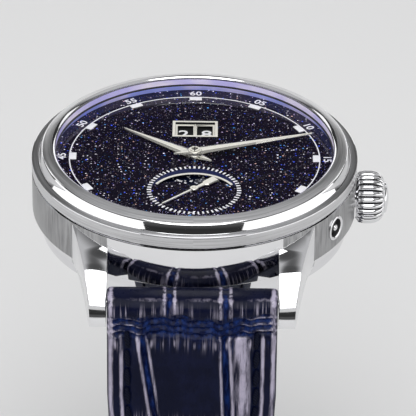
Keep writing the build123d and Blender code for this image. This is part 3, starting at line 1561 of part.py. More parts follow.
with BuildPart() as train_bridge:
    with BuildSketch(Plane.XY.offset(bridge_bottom)):
        Circle(bridge_radius)
        with Locations((0, BRIDGE_SEAM - SEAM_WIDTH)):
            Rectangle(
                2 * bridge_radius + OVERRUN,
                2 * bridge_radius,
                align=(Align.CENTER, Align.MIN),
                mode=Mode.SUBTRACT,
            )
        with Locations((TRAIN_BRIDGE_SIDE, 0)):
            Rectangle(
                2 * bridge_radius,
                2 * bridge_radius + OVERRUN,
                align=(Align.MIN, Align.CENTER),
                mode=Mode.SUBTRACT,
            )
        Circle(PIVOT_RADIUS + PLAY, mode=Mode.SUBTRACT)
        with Locations(third_arbor, fourth_arbor, escape_arbor):
            Circle(JEWEL_RADIUS + SEAT, mode=Mode.SUBTRACT)
    extrude(amount=BRIDGE_THICK)
    screw_holes(train_pillars)
    pillars(train_pillars)
keep(train_bridge, "train_bridge")

foot_to_head = hypot(balance_arbor[0] - cock_foot[0], balance_arbor[1] - cock_foot[1])
cock_direction = degrees(
    atan2(balance_arbor[1] - cock_foot[1], balance_arbor[0] - cock_foot[0])
)
stud_place = polar(balance_arbor, HAIRSPRING_OUTER + HAIRSPRING_THICK + STUD_RADIUS, 0)
with BuildPart() as balance_cock:
    with BuildSketch(Plane((*cock_foot, bridge_bottom)).rotated((0, 0, cock_direction))):
        Circle(COCK_FOOT_RADIUS)
        with Locations((foot_to_head, 0)):
            Circle(COCK_HEAD_RADIUS)
        with BuildLine():
            Polyline(
                (0, COCK_HEAD_RADIUS),
                (foot_to_head, COCK_HEAD_RADIUS),
                (foot_to_head, -COCK_HEAD_RADIUS),
                (0, -COCK_HEAD_RADIUS),
                close=True,
            )
        make_face()
        with Locations((foot_to_head, 0)):
            Circle(JEWEL_RADIUS + SEAT, mode=Mode.SUBTRACT)
    extrude(amount=BRIDGE_THICK)
    with BuildSketch(Plane((*balance_arbor, bridge_bottom))):
        Rectangle(
            HAIRSPRING_OUTER + HAIRSPRING_THICK + 2 * STUD_RADIUS,
            2 * STUD_RADIUS,
            align=(Align.MIN, Align.CENTER),
        )
        Circle(JEWEL_RADIUS + SEAT, mode=Mode.SUBTRACT)
    extrude(amount=BRIDGE_THICK)
    extrude(
        disc_face((0, 0), bridge_bottom, bridge_radius),
        amount=BRIDGE_THICK,
        mode=Mode.INTERSECT,
    )
    extrude(
        disc_face(stud_place, hairspring_low, STUD_RADIUS), amount=bridge_top - hairspring_low
    )
    screw_holes(cock_pillars)
    pillars(cock_pillars)
keep(balance_cock, "balance_cock")

with BuildPart() as bridge_jewels:
    for place in (third_arbor, fourth_arbor, escape_arbor, balance_arbor):
        extrude(
            disc_face(place, bridge_bottom, JEWEL_RADIUS, PIVOT_RADIUS + PLAY),
            amount=BRIDGE_THICK,
        )
keep(bridge_jewels, "bridge_jewels")

movement_screws = screws(
    barrel_pillars + train_pillars + cock_pillars,
    bridge_bottom - SCREW_HEAD_HEIGHT,
    SCREW_HEAD_RADIUS,
    SCREW_HEAD_HEIGHT,
    SCREW_RADIUS,
    SCREW_LENGTH,
    SCREW_SLOT,
)
keep(movement_screws, "movement_screws")

# Rotor: a half disc with a heavy rim that swings on a stud of the train bridge
rotor_plate_low = bridge_bottom - ROTOR_GAP - ROTOR_PLATE
rotor_half = Plane.XY.rotated((0, 0, ROTOR_ANGLE))
with BuildPart() as rotor:
    with BuildSketch(rotor_half.offset(rotor_plate_low)):
        Circle(rotor_radius)
        Rectangle(
            2 * rotor_radius + OVERRUN,
            2 * rotor_radius,
            align=(Align.CENTER, Align.MAX),
            mode=Mode.SUBTRACT,
        )
        Circle(ROTOR_HUB_RADIUS)
        Circle(ROTOR_STUD_RADIUS + PLAY, mode=Mode.SUBTRACT)
    extrude(amount=ROTOR_PLATE)
    with BuildSketch(rotor_half.offset(rotor_plate_low + ROTOR_PLATE - ROTOR_RIM_HEIGHT)):
        Circle(rotor_radius)
        Circle(rotor_radius - ROTOR_RIM_WIDTH, mode=Mode.SUBTRACT)
        Rectangle(
            2 * rotor_radius + OVERRUN,
            2 * rotor_radius,
            align=(Align.CENTER, Align.MAX),
            mode=Mode.SUBTRACT,
        )
    extrude(amount=ROTOR_RIM_HEIGHT)
keep(rotor, "rotor")

rotor_cap_low = rotor_plate_low - PLAY - ROTOR_CAP_HEIGHT
with BuildPart() as rotor_hub:
    arbor(centre_arbor, ROTOR_STUD_RADIUS, rotor_cap_low, bridge_bottom)
    arbor(centre_arbor, ROTOR_CAP_RADIUS, rotor_cap_low, rotor_cap_low + ROTOR_CAP_HEIGHT)
    arbor(
        centre_arbor,
        ROTOR_CAP_RADIUS,
        rotor_plate_low + ROTOR_PLATE + PLAY,
        bridge_bottom,
    )
keep(rotor_hub, "rotor_hub")

# Strap levels: the keeper's wall lies on the floor, then the long and the short strap
pin_reach = -BUCKLE_PIN_SETBACK
strap_face = bar_reach + STRAP_HEAD_THICK * HALF  # outer face of both vertical runs
long_low = KEEPER_WALL + STRAP_PLAY
long_high = long_low + STRAP_THICK
short_low = long_high + STRAP_PLAY
short_high = short_low + STRAP_THICK
outer_bend = STRAP_BEND + STRAP_THICK
bend_reach = strap_face - outer_bend
short_bend_height = short_low + outer_bend
long_bend_height = long_low + outer_bend
taper_top = bar_height - STRAP_TAPER_TOP
taper_bottom = taper_top - STRAP_TAPER_LENGTH
tail_inner_bend = outer_bend + STRAP_PLAY
tail_outer_bend = tail_inner_bend + STRAP_THICK
tail_inner_face = strap_face + STRAP_PLAY
tail_outer_face = tail_inner_face + STRAP_THICK
tail_top = short_bend_height + TAIL_RISE
pin_height = (short_low + short_high) * HALF
strap_half = STRAP_END_WIDTH * HALF


def strap_head(side):
    """The padded end at the case: it wraps the spring bar and tapers towards the buckle."""
    middle = side * bar_reach
    thin_middle = side * (strap_face - STRAP_THICK * HALF)
    with BuildPart() as piece:
        with BuildSketch(Plane((0, thin_middle, taper_bottom))):
            Rectangle(STRAP_END_WIDTH, STRAP_THICK)
        with BuildSketch(Plane((0, middle, taper_top))):
            Rectangle(STRAP_WIDTH, STRAP_HEAD_THICK)
        loft(ruled=True)
        with BuildSketch(Plane((0, middle, taper_top))):
            Rectangle(STRAP_WIDTH, STRAP_HEAD_THICK)
        extrude(amount=bar_height - taper_top)
        with BuildSketch(Plane.YZ.offset(-STRAP_WIDTH * HALF)):
            with Locations((middle, bar_height)):
                Circle(STRAP_HEAD_THICK * HALF)
        extrude(amount=STRAP_WIDTH)
        with BuildSketch(Plane.YZ.offset(-STRAP_WIDTH * HALF)):
            with Locations((middle, bar_height)):
                Circle(BAR_RADIUS + BAR_SLEEVE_PLAY)
        extrude(amount=STRAP_WIDTH, mode=Mode.SUBTRACT)
    return piece.part


with BuildPart() as strap_12:
    add(strap_head(1))
    with BuildSketch(Plane.YZ.offset(-strap_half)):
        with BuildLine():
            Line((strap_face, taper_bottom), (strap_face, short_bend_height))
            CenterArc((bend_reach, short_bend_height), outer_bend, 0, -90)
            Polyline(
                (bend_reach, short_low),
                (pin_reach, short_low),
                (pin_reach, short_high),
                (bend_reach, short_high),
            )
            CenterArc((bend_reach, short_bend_height), STRAP_BEND, -90, 90)
            Polyline(
                (strap_face - STRAP_THICK, short_bend_height),
                (strap_face - STRAP_THICK, taper_bottom),
                (strap_face, taper_bottom),
            )
        make_face()
        with Locations((pin_reach, pin_height)):
            Circle(STRAP_THICK * HALF)
            Circle(BUCKLE_PIN_RADIUS + PLAY, mode=Mode.SUBTRACT)
    extrude(amount=STRAP_END_WIDTH)
    with BuildSketch(Plane((0, pin_reach, short_low))):
        Rectangle(TONGUE_WIDTH + 2 * TONGUE_SLOT_PLAY, 2 * STRAP_THICK)
    extrude(amount=STRAP_THICK, mode=Mode.SUBTRACT)
keep(strap_12, "strap_12")

# Long strap with its holes; the tongue crosses it on a slant through a longer one
slot_start = pin_reach - TONGUE_SLOT_START
slot_middle = slot_start - TONGUE_SLOT_LENGTH * HALF


def hole_place(number):
    """Middle of a hole of the long strap, and the direction that it is punched in."""
    along = slot_middle + number * HOLE_PITCH
    side = 1 if along > 0 else -1
    past = abs(along) - bend_reach
    if past < 0:
        return (0, along, long_low + STRAP_THICK * HALF), (0, 0, 1)
    inner_bend = tail_inner_bend if side > 0 else STRAP_BEND
    height = short_bend_height if side > 0 else long_bend_height
    middle_bend = inner_bend + STRAP_THICK * HALF
    turn = min(past / middle_bend, radians(90))
    rise = max(past - radians(90) * middle_bend, 0)
    outward = (0, side * sin(turn), -cos(turn))
    y = side * bend_reach + middle_bend * outward[1]
    return (0, y, height + middle_bend * outward[2] + rise), outward


with BuildPart() as strap_6:
    add(strap_head(-1))
    with BuildSketch(Plane.YZ.offset(-strap_half)):
        with BuildLine():
            Line((-strap_face, taper_bottom), (-strap_face, long_bend_height))
            CenterArc((-bend_reach, long_bend_height), outer_bend, 180, 90)
            Line((-bend_reach, long_low), (bend_reach, long_low))
            CenterArc((bend_reach, short_bend_height), tail_outer_bend, -90, 90)
            Polyline(
                (tail_outer_face, short_bend_height),
                (tail_outer_face, tail_top),
                (tail_inner_face, tail_top),
                (tail_inner_face, short_bend_height),
            )
            CenterArc((bend_reach, short_bend_height), tail_inner_bend, 0, -90)
            Line((bend_reach, long_high), (-bend_reach, long_high))
            CenterArc((-bend_reach, long_bend_height), STRAP_BEND, 270, -90)
            Polyline(
                (-strap_face + STRAP_THICK, long_bend_height),
                (-strap_face + STRAP_THICK, taper_bottom),
                (-strap_face, taper_bottom),
            )
        make_face()
    extrude(amount=STRAP_END_WIDTH)
    with BuildSketch(Plane((0, slot_middle, 0))):
        SlotOverall(TONGUE_SLOT_LENGTH, TONGUE_WIDTH + 2 * TONGUE_SLOT_PLAY, rotation=90)
    extrude(amount=long_bend_height, mode=Mode.SUBTRACT)
    for number in [*range(-HOLES_BEFORE, 0), *range(1, HOLES_AFTER + 1)]:
        hole_origin, hole_direction = hole_place(number)
        hole_plane = Plane(origin=hole_origin, x_dir=(1, 0, 0), z_dir=hole_direction)
        with BuildSketch(hole_plane.offset(-STRAP_THICK)):
            Circle(HOLE_RADIUS)
        extrude(amount=2 * STRAP_THICK, mode=Mode.SUBTRACT)
    for side in (1, -1):
        with BuildSketch(Plane.XZ.offset(-tail_outer_face - OVERRUN)):
            with BuildLine():
                Polyline(
                    (side * TAIL_POINT_WIDTH * HALF, tail_top),
                    (side * (strap_half + OVERRUN), tail_top - TAIL_POINT - OVERRUN),
                    (side * (strap_half + OVERRUN), tail_top + OVERRUN),
                    (side * TAIL_POINT_WIDTH * HALF, tail_top + OVERRUN),
                    close=True,
                )
            make_face()
        extrude(amount=STRAP_THICK + 2 * OVERRUN, mode=Mode.SUBTRACT)
keep(strap_6, "strap_6")

# Keepers: the fixed one stands on the floor, the other slides round the upright straps
keeper_half = strap_half + STRAP_PLAY
fixed_high = short_high + KEEPER_WALL
with BuildPart() as fixed_keeper:
    with BuildSketch(Plane.XZ.offset(KEEPER_SETBACK - KEEPER_WIDTH)):
        with Locations((0, fixed_high * HALF)):
            Rectangle(2 * (keeper_half + KEEPER_WALL), fixed_high)
        with Locations((0, (short_high + KEEPER_WALL) * HALF)):
            Rectangle(2 * keeper_half, short_high - KEEPER_WALL, mode=Mode.SUBTRACT)
    extrude(amount=KEEPER_WIDTH)
keep(fixed_keeper, "fixed_keeper")

floating_low = short_bend_height + FLOATING_KEEPER_RISE
keeper_in = strap_face - STRAP_THICK - STRAP_PLAY
keeper_out = tail_outer_face + STRAP_PLAY
with BuildPart() as floating_keeper:
    with BuildSketch(Plane.XY.offset(floating_low)):
        with Locations((0, (keeper_in + keeper_out) * HALF)):
            Rectangle(
                2 * (keeper_half + KEEPER_WALL), keeper_out - keeper_in + 2 * KEEPER_WALL
            )
            Rectangle(2 * keeper_half, keeper_out - keeper_in, mode=Mode.SUBTRACT)
    extrude(amount=KEEPER_WIDTH)
keep(floating_keeper, "floating_keeper")

# Buckle: frame, pin and tongue
frame_inside = strap_half + BUCKLE_SIDE_PLAY
frame_outside = frame_inside + BUCKLE_ARM_WIDTH
frame_front = pin_reach - BUCKLE_LENGTH
frame_back = pin_reach + BUCKLE_EYE_RADIUS
front_bar_inside = frame_front + BUCKLE_BAR_WIDTH
with BuildPart() as buckle_frame:
    with BuildSketch():
        with Locations((0, (frame_front + frame_back) * HALF)):
            RectangleRounded(2 * frame_outside, frame_back - frame_front, BUCKLE_CORNER * HALF)
        with Locations((0, front_bar_inside)):
            Rectangle(
                2 * frame_inside,
                2 * BUCKLE_LENGTH,
                align=(Align.CENTER, Align.MIN),
                mode=Mode.SUBTRACT,
            )
    extrude(amount=short_high + OVERRUN)
    with BuildSketch(Plane.YZ.offset(-frame_outside)):
        with BuildLine():
            Polyline(
                (frame_front, 0),
                (front_bar_inside, 0),
                (pin_reach + BUCKLE_EYE_RADIUS * HALF, pin_height - BUCKLE_EYE_RADIUS),
                (pin_reach, pin_height + BUCKLE_EYE_RADIUS),
                (frame_front, BUCKLE_BAR_HEIGHT),
                close=True,
            )
        make_face()
        with Locations((pin_reach, pin_height)):
            Circle(BUCKLE_EYE_RADIUS)
    extrude(amount=2 * frame_outside, mode=Mode.INTERSECT)
    with BuildSketch(Plane.YZ.offset(-frame_inside)):
        with Locations((front_bar_inside, BUCKLE_BAR_HEIGHT)):
            Rectangle(
                BUCKLE_LENGTH + BUCKLE_BAR_WIDTH,
                BUCKLE_LENGTH,
                align=(Align.CENTER, Align.MIN),
            )
    extrude(amount=2 * frame_inside, mode=Mode.SUBTRACT)
    with BuildSketch(Plane.YZ.offset(-frame_outside)):
        with Locations((pin_reach, pin_height)):
            Circle(BUCKLE_PIN_TIP_RADIUS + SEAT)
    extrude(amount=2 * frame_outside, mode=Mode.SUBTRACT)
    with BuildSketch():
        with Locations((0, frame_front)):
            Rectangle(TONGUE_WIDTH + 2 * STRAP_PLAY, 2 * BUCKLE_BAR_WIDTH + OVERRUN)
    extrude(amount=BUCKLE_TIP_DEPTH, mode=Mode.SUBTRACT)
keep(buckle_frame, "buckle_frame")

with BuildPart() as buckle_bar:
    with BuildSketch(Plane.YZ.offset(-strap_half)):
        with Locations((pin_reach, pin_height)):
            Circle(BUCKLE_PIN_RADIUS)
    extrude(amount=STRAP_END_WIDTH)
    with BuildSketch(Plane.YZ.offset(-frame_outside + SEAT)):
        with Locations((pin_reach, pin_height)):
            Circle(BUCKLE_PIN_TIP_RADIUS)
    extrude(amount=2 * (frame_outside - SEAT))
keep(buckle_bar, "buckle_bar")

tip_high = TONGUE_FLOOR_GAP + TONGUE_THICK
tip_reach = frame_front + TONGUE_OVERHANG
elbow_reach = front_bar_inside + TONGUE_THICK
with BuildPart() as buckle_tongue:
    with BuildSketch(Plane.YZ.offset(-TONGUE_WIDTH * HALF)):
        with BuildLine():
            Polyline(
                (pin_reach, pin_height - BUCKLE_PIN_RADIUS - PLAY),
                (elbow_reach, TONGUE_FLOOR_GAP),
                (tip_reach, TONGUE_FLOOR_GAP),
                (tip_reach, tip_high),
                (elbow_reach - TONGUE_THICK * HALF, tip_high),
                (pin_reach - TONGUE_EYE_RADIUS, pin_height),
                (pin_reach, pin_height),
                close=True,
            )
        make_face()
        with Locations((pin_reach, pin_height)):
            Circle(TONGUE_EYE_RADIUS)
            Circle(BUCKLE_PIN_RADIUS + PLAY, mode=Mode.SUBTRACT)
    extrude(amount=TONGUE_WIDTH)
keep(buckle_tongue, "buckle_tongue")
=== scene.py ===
"""Looks of a moon phase wristwatch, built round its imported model.

Every length is in metres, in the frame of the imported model: +Z up out of the dial, +Y towards 12 o'clock,
+X towards the crown. Angles on the dial are clock angles, clockwise from 12 o'clock.
"""

import json
import math
import random

import bpy
import numpy as np
from mathutils import Matrix, Vector


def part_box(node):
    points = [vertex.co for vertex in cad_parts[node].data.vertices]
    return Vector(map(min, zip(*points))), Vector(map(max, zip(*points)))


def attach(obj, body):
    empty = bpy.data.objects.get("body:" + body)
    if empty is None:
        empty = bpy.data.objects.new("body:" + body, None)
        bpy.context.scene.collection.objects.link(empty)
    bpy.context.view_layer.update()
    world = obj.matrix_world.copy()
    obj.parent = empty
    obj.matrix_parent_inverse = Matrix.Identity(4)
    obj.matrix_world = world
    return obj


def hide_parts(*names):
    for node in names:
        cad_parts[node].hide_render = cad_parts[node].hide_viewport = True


bl_info = {
    "name": "Moon phase watch",
    "version": (1, 0, 0),
    "blender": (4, 5, 0),
    "location": "View3D > Sidebar > Watch",
    "description": "Dial, hands, case, crystal and strap of a moon phase watch",
    "category": "Object",
}

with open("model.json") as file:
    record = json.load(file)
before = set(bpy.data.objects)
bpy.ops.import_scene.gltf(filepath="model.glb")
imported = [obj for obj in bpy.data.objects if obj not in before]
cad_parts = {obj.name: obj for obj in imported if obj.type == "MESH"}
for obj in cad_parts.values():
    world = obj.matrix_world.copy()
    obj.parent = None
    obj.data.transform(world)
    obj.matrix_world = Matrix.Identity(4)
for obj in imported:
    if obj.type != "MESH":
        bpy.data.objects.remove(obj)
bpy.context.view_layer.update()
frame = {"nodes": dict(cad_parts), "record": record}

MM = 0.001
WELD = 0.002 * MM
OVERRUN = MM
FULL_TURN = 2 * math.pi
ORIGIN = Vector((0, 0, 0))
dial_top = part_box("dial")[1].z
case_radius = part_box("bezel")[1].x
strap_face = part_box("strap_12")[1].y
strap_half_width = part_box("strap_12")[1].x
bezel_bore = 17.15 * MM
second_place = Vector((0, -7.89 * MM, 0))
date_place = Vector((0, 7.04 * MM, 0))


def length(name, description, millimetres):
    """A length property, given in millimetres."""
    return bpy.props.FloatProperty(
        name=name, description=description, default=millimetres * MM, unit="LENGTH", precision=6
    )


def colour(name, description, value):
    """A linear colour property."""
    return bpy.props.FloatVectorProperty(
        name=name, description=description, default=value, size=3, subtype="COLOR", min=0, max=1
    )


def degrees(name, description, value):
    """An angle property, given in degrees."""
    return bpy.props.FloatProperty(
        name=name, description=description, default=math.radians(value), subtype="ANGLE"
    )


class WatchSizes(bpy.types.PropertyGroup):
    """Sizes of the dial, hands and strap that a user may change."""

    ring_radius: length("Minute ring", "Radius of the printed minute ring", 15.38)
    ring_width: length("Ring width", "Width of the printed minute ring", 0.14)
    print_height: length("Print height", "Thickness of the print on the dial", 0.03)
    plot_length: length("Plot length", "Five-minute plot along the radius", 0.78)
    plot_width: length("Plot width", "Five-minute plot along the ring", 1.56)
    plot_height: length("Plot height", "Five-minute plot above the dial", 0.1)
    numeral_height: length("Numeral height", "Height of the minute numerals", 1.0)
    numeral_radius: length("Numeral radius", "Middle of the minute numerals", 16.28)
    tick_radius: length("Tick radius", "Middle of the small seconds' ticks", 5.46)
    tick_length: length("Tick length", "Length of a small seconds' tick", 0.52)
    tick_width: length("Tick width", "Width of a small seconds' tick", 0.2)
    stitch_inset: length("Stitch inset", "Stitches from the strap's edge", 2.45)
    stitch_pitch: length("Stitch pitch", "From one stitch to the next", 2.65)
    hour_angle: degrees("Hour hand", "Clock angle of the hour hand", 306)
    minute_angle: degrees("Minute hand", "Clock angle of the minute hand", 72)
    second_angle: degrees("Seconds hand", "Clock angle of the small seconds hand", 226)


class WatchColours(bpy.types.PropertyGroup):
    """Colours that a user may change."""

    steel: colour("Steel", "Case, bezel and lugs", (0.60, 0.60, 0.61))
    hands: colour("Hands", "Hands and date frame", (0.92, 0.90, 0.82))
    stone: colour("Dial", "Ground of the sparkling dial", (0.0018, 0.0009, 0.0078))
    leather: colour("Leather", "Strap", (0.0030, 0.0040, 0.0150))
    thread: colour("Thread", "Stitches", (0.003, 0.004, 0.011))
    prints: colour("Print", "Numerals, plots and ticks", (0.95, 0.95, 0.97))
    floor: colour("Floor", "Ground under the watch", (0.74, 0.74, 0.74))


class Field:
    """A socket in a material. Plain arithmetic on it adds Math nodes."""

    def __init__(self, paint, socket):
        self.paint = paint
        self.socket = socket

    def math(self, operation, *values):
        return self.paint.add("ShaderNodeMath", {"operation": operation}, dict(enumerate(values)))

    def __add__(self, other):
        return self.math("ADD", self, other)

    __radd__ = __add__

    def __sub__(self, other):
        return self.math("SUBTRACT", self, other)

    def __rsub__(self, other):
        return self.math("SUBTRACT", other, self)

    def __mul__(self, other):
        return self.math("MULTIPLY", self, other)

    __rmul__ = __mul__

    def __pow__(self, other):
        return self.math("POWER", self, other)

    def above(self, edge):
        return self.math("GREATER_THAN", self, edge)

    def below(self, edge):
        return self.math("LESS_THAN", self, edge)

    def ramp(self, low, high, to_low=0.0, to_high=1.0):
        """This value from low to high, eased, as to_low to to_high."""
        return self.paint.add(
            "ShaderNodeMapRange",
            {"interpolation_type": "SMOOTHSTEP"},
            {"Value": self, "From Min": low, "From Max": high, "To Min": to_low, "To Max": to_high},
        )

    def output(self, name):
        """Another output of the node that this value comes from."""
        return Field(self.paint, self.socket.node.outputs[name])

    def axis(self, letter):
        """One axis of a vector."""
        return self.paint.add("ShaderNodeSeparateXYZ", {}, {"Vector": self}, letter)


class Paint:
    """A material under construction."""

    SOCKETS = {"specular": "Specular IOR Level", "coat_ior": "Coat IOR"}

    def __init__(self, name):
        self.material = bpy.data.materials.new(name)
        self.material.use_nodes = True
        self.tree = self.material.node_tree
        self.shader = self.tree.nodes["Principled BSDF"]

    def add(self, kind, settings, inputs, output=0):
        """A node of a kind, its settings made first, then its sockets; one of its outputs."""
        node = self.tree.nodes.new(kind)
        for key, value in settings.items():
            setattr(node, key, value)
        for key, value in inputs.items():
            self.feed(node.inputs[key], value)
        return Field(self, node.outputs[output])

    def feed(self, socket, value):
        if isinstance(value, Field):
            self.tree.links.new(value.socket, socket)
        else:
            socket.default_value = value

    def place(self, scale=(1, 1, 1), turn=0.0):
        """Object coordinates, in millimetres times scale."""
        coordinates = self.add("ShaderNodeTexCoord", {}, {}, "Object")
        inputs = {"Vector": coordinates, "Rotation": (0, 0, turn), "Scale": [value / MM for value in scale]}
        return self.add("ShaderNodeMapping", {}, inputs)

    def noise(self, where, scale, detail=2.0, roughness=0.5):
        inputs = {"Vector": where, "Scale": scale, "Detail": detail, "Roughness": roughness}
        return self.add("ShaderNodeTexNoise", {}, inputs)

    def cells(self, where, scale):
        """How far a point lies from the middle of its cell."""
        return self.add("ShaderNodeTexVoronoi", {}, {"Vector": where, "Scale": scale}, "Distance")

    def wave(self, where, scale, distortion, **settings):
        inputs = {"Vector": where, "Scale": scale, "Distortion": distortion}
        return self.add("ShaderNodeTexWave", settings, inputs, "Fac")

    def attribute(self, name):
        return self.add("ShaderNodeAttribute", {"attribute_name": name}, {}, "Fac")

    def mix(self, factor, first, second):
        """A blend of two colours, each from nodes or as three numbers."""
        pair = [shade if isinstance(shade, Field) else (*shade, 1.0) for shade in (first, second)]
        return self.add("ShaderNodeMix", {"data_type": "RGBA"}, {0: factor, 6: pair[0], 7: pair[1]}, 2)

    def bump(self, height, depth, strength):
        """A normal from a height of 0 to 1 that stands for depth in metres."""
        return self.add("ShaderNodeBump", {}, {"Height": height, "Distance": depth, "Strength": strength})

    def finish(self, **sockets):
        """Set the shader's sockets, named as in Blender but in lower case."""
        for name, value in sockets.items():
            socket = self.SOCKETS.get(name, name.replace("_", " ").title())
            self.feed(self.shader.inputs[socket], value)
        return self.material


def dimmed(tint, factor):
    """A colour made darker, or lighter with a factor above 1."""
    return [value * factor for value in tint]


def grained(name, dark, pale, scale, detail=2.0, stretch=(1, 1, 1), rough=None, relief=None, **sockets):
    """A finish whose colour wanders from dark to pale with a grain.

    Its roughness follows the same grain where rough gives a ramp, and its relief where that gives a depth
    and a strength.
    """
    paint = Paint(name)
    grain = paint.noise(paint.place(stretch), scale, detail)
    if rough:
        sockets["roughness"] = grain.ramp(*rough)
    if relief:
        sockets["normal"] = paint.bump(grain, *relief)
    return paint.finish(base_color=paint.mix(grain, dark, pale), **sockets)


# Materials


def polished_steel(name, tint, roughness):
    """Mirror steel with hairline scratches too fine to see singly."""
    paint = Paint(name)
    scratches = paint.noise(paint.place(), scale=9.0, detail=3.0)
    cloud = paint.noise(paint.place(), scale=0.35)
    return paint.finish(
        base_color=paint.mix(cloud, dimmed(tint, 0.94), tint),
        metallic=1.0,
        roughness=cloud.ramp(0.3, 0.7, roughness * 0.7, roughness * 1.3),
        normal=paint.bump(scratches, 0.0004 * MM, strength=0.3),
    )


def brushed_steel(name, tint, grain, roughness, depth=0.006 * MM):
    """Satin steel, brushed along the axis that has the small number in grain."""
    paint = Paint(name)
    lines = paint.noise(paint.place(grain), scale=5.0, detail=4.0, roughness=0.6)
    cloud = paint.noise(paint.place(), scale=0.25)
    return paint.finish(
        base_color=paint.mix(lines.ramp(0.3, 0.7), dimmed(tint, 0.6), tint),
        metallic=1.0,
        roughness=lines.ramp(0.3, 0.7, roughness * 0.8, roughness * 1.25) + cloud * 0.04,
        normal=paint.bump(lines, depth, strength=0.6),
    )


def turned_steel(tint):
    """Satin steel with its grain running round the watch."""
    roughness = 0.3
    paint = Paint("turned_satin")
    where = paint.place()
    x, y, z = (where.axis(letter) for letter in "XYZ")
    radius = (x * x + y * y) ** 0.5
    rings = {0: radius * 3.0, 1: z * 3.0, 2: x.math("ARCTAN2", x, y)}
    lines = paint.noise(paint.add("ShaderNodeCombineXYZ", {}, rings), scale=1.2, detail=4.0, roughness=0.7)
    cloud = paint.noise(where, scale=0.25)
    return paint.finish(
        base_color=paint.mix(lines.ramp(0.32, 0.68), dimmed(tint, 0.74), dimmed(tint, 1.1)),
        metallic=1.0,
        roughness=lines.ramp(0.3, 0.7, roughness * 0.82, roughness * 1.2) + cloud * 0.05,
        normal=paint.bump(lines, 0.004 * MM, strength=0.6),
    )


def ivory_steel(tint):
    """Frosted flat of the hands and frames, pale and even."""
    rough = (0.3, 0.7, 0.3, 0.4)
    return grained("frosted_hand_steel", dimmed(tint, 0.94), tint, scale=8.0, rough=rough, metallic=0.12)


def sparkling_stone(tint):
    """Aventurine glass: a night-blue ground full of bright flakes under a polished face; the flakes also
    glow, a painted glint.
    """
    white, violet, blue = (0.95, 0.92, 1.0), (0.62, 0.50, 0.80), (0.06, 0.12, 1.0)
    azure, copper = (0.10, 0.42, 1.0), (0.62, 0.38, 0.34)
    # Layers of flakes: cells per millimetre, largest flake, share of cells that hold one, brightness
    layers = (
        (2.1, 0.29, 0.46, 1.0),
        (2.9, 0.31, 0.52, 0.85),
        (4.6, 0.34, 0.45, 0.26),
        (1.5, 0.17, 0.40, 1.0),
    )
    paint = Paint("sparkling_stone")
    where = paint.place()
    cloud = paint.noise(where, scale=0.5, detail=4.0, roughness=0.6)
    warm = (tint[0] * 2.4, tint[1] * 1.2, tint[2] * 1.1)
    result = paint.mix(cloud.ramp(0.35, 0.68), tint, warm)
    painted_glint = None
    for density, size, share, strength in layers:
        cells = paint.cells(where, density)
        draw = cells.output("Color")
        chance, hue, brightness = (draw.axis(letter) for letter in "XYZ")
        reach = brightness * (size * 0.7) + size * 0.3
        spot = cells.below(reach) * chance.below(share) * (brightness * brightness * 1.3 + 0.15) * strength
        flake = paint.mix(hue.above(0.55), white, violet)
        flake = paint.mix(hue.above(0.72), flake, blue)
        flake = paint.mix(hue.above(0.93), flake, azure)
        flake = paint.mix(hue.below(0.12), flake, copper)
        result = paint.mix(spot, result, flake)
        painted_glint = spot if painted_glint is None else painted_glint + spot
    return paint.finish(
        base_color=result,
        roughness=0.6,
        specular=0.05,
        coat_weight=1.0,
        coat_roughness=0.01,
        coat_ior=1.35,
        # Emission on the flakes is a painted glint: they glow though no lamp is there.
        emission_color=paint.mix(painted_glint, (0, 0, 0), result),
        emission_strength=0.3,
    )


def printed(name, tint):
    """Thick opaque lacquer, slightly uneven."""
    rough, relief = (0.2, 0.8, 0.32, 0.5), (0.006 * MM, 0.4)
    return grained(name, dimmed(tint, 0.93), tint, scale=6.0, rough=rough, relief=relief)


def night_disc():
    """Matt blue-black lacquer of the moon disc."""
    dark, pale = (0.001, 0.002, 0.006), (0.002, 0.005, 0.022)
    return grained("night_disc", dark, pale, scale=1.4, detail=3.0, roughness=0.38, specular=0.1)


def cratered_moon():
    """Silver-grey lacquer with dark seas and craters."""
    paint = Paint("cratered_moon")
    where = paint.place()
    seas = paint.noise(where, scale=1.6, detail=4.0, roughness=0.6)
    pits = paint.cells(where, scale=2.6)
    rims = pits.ramp(0.22, 0.30) - pits.ramp(0.32, 0.42)
    ground = paint.mix(seas.ramp(0.42, 0.6), (0.004, 0.005, 0.01), (0.05, 0.055, 0.08))
    return paint.finish(
        base_color=paint.mix(rims, ground, (0.75, 0.77, 0.85)),
        roughness=0.5,
        normal=paint.bump(pits, 0.05 * MM, strength=0.8),
    )


def black_disc():
    """Matt black lacquer of the date discs."""
    dark, pale, relief = (0.010, 0.010, 0.011), (0.022, 0.022, 0.024), (0.004 * MM, 0.5)
    return grained("black_disc", dark, pale, scale=12.0, relief=relief, roughness=0.45, specular=0.08)


def coated_crystal():
    """Sapphire with a violet coating that shows only at a glancing angle."""
    paint = Paint("coated_crystal")
    glance = paint.add("ShaderNodeLayerWeight", {}, {"Blend": 0.5}, "Fresnel")
    haze = paint.noise(paint.place(), scale=0.3)
    return paint.finish(
        base_color=paint.mix(glance.ramp(0.25, 0.95), (0.52, 0.46, 0.95), (0.86, 0.88, 1.0)),
        metallic=1.0,
        roughness=haze.ramp(0.3, 0.7, 0.01, 0.03),
        alpha=glance.ramp(0.1, 1.0, 0.008, 0.16),
    )


def ground_sapphire():
    """The ground edge of the crystal, painted lavender and made to glow: a painted glow for light caught in
    the edge.
    """
    paint = Paint("ground_sapphire")
    cloud = paint.noise(paint.place(), scale=0.18)
    lavender = paint.mix(cloud.ramp(0.35, 0.65), (0.58, 0.54, 0.95), (0.93, 0.86, 1.0))
    # Painted glow: the emission lights the edge though it is no lamp.
    return paint.finish(
        base_color=lavender, roughness=0.3, alpha=0.85, emission_color=lavender, emission_strength=0.24
    )


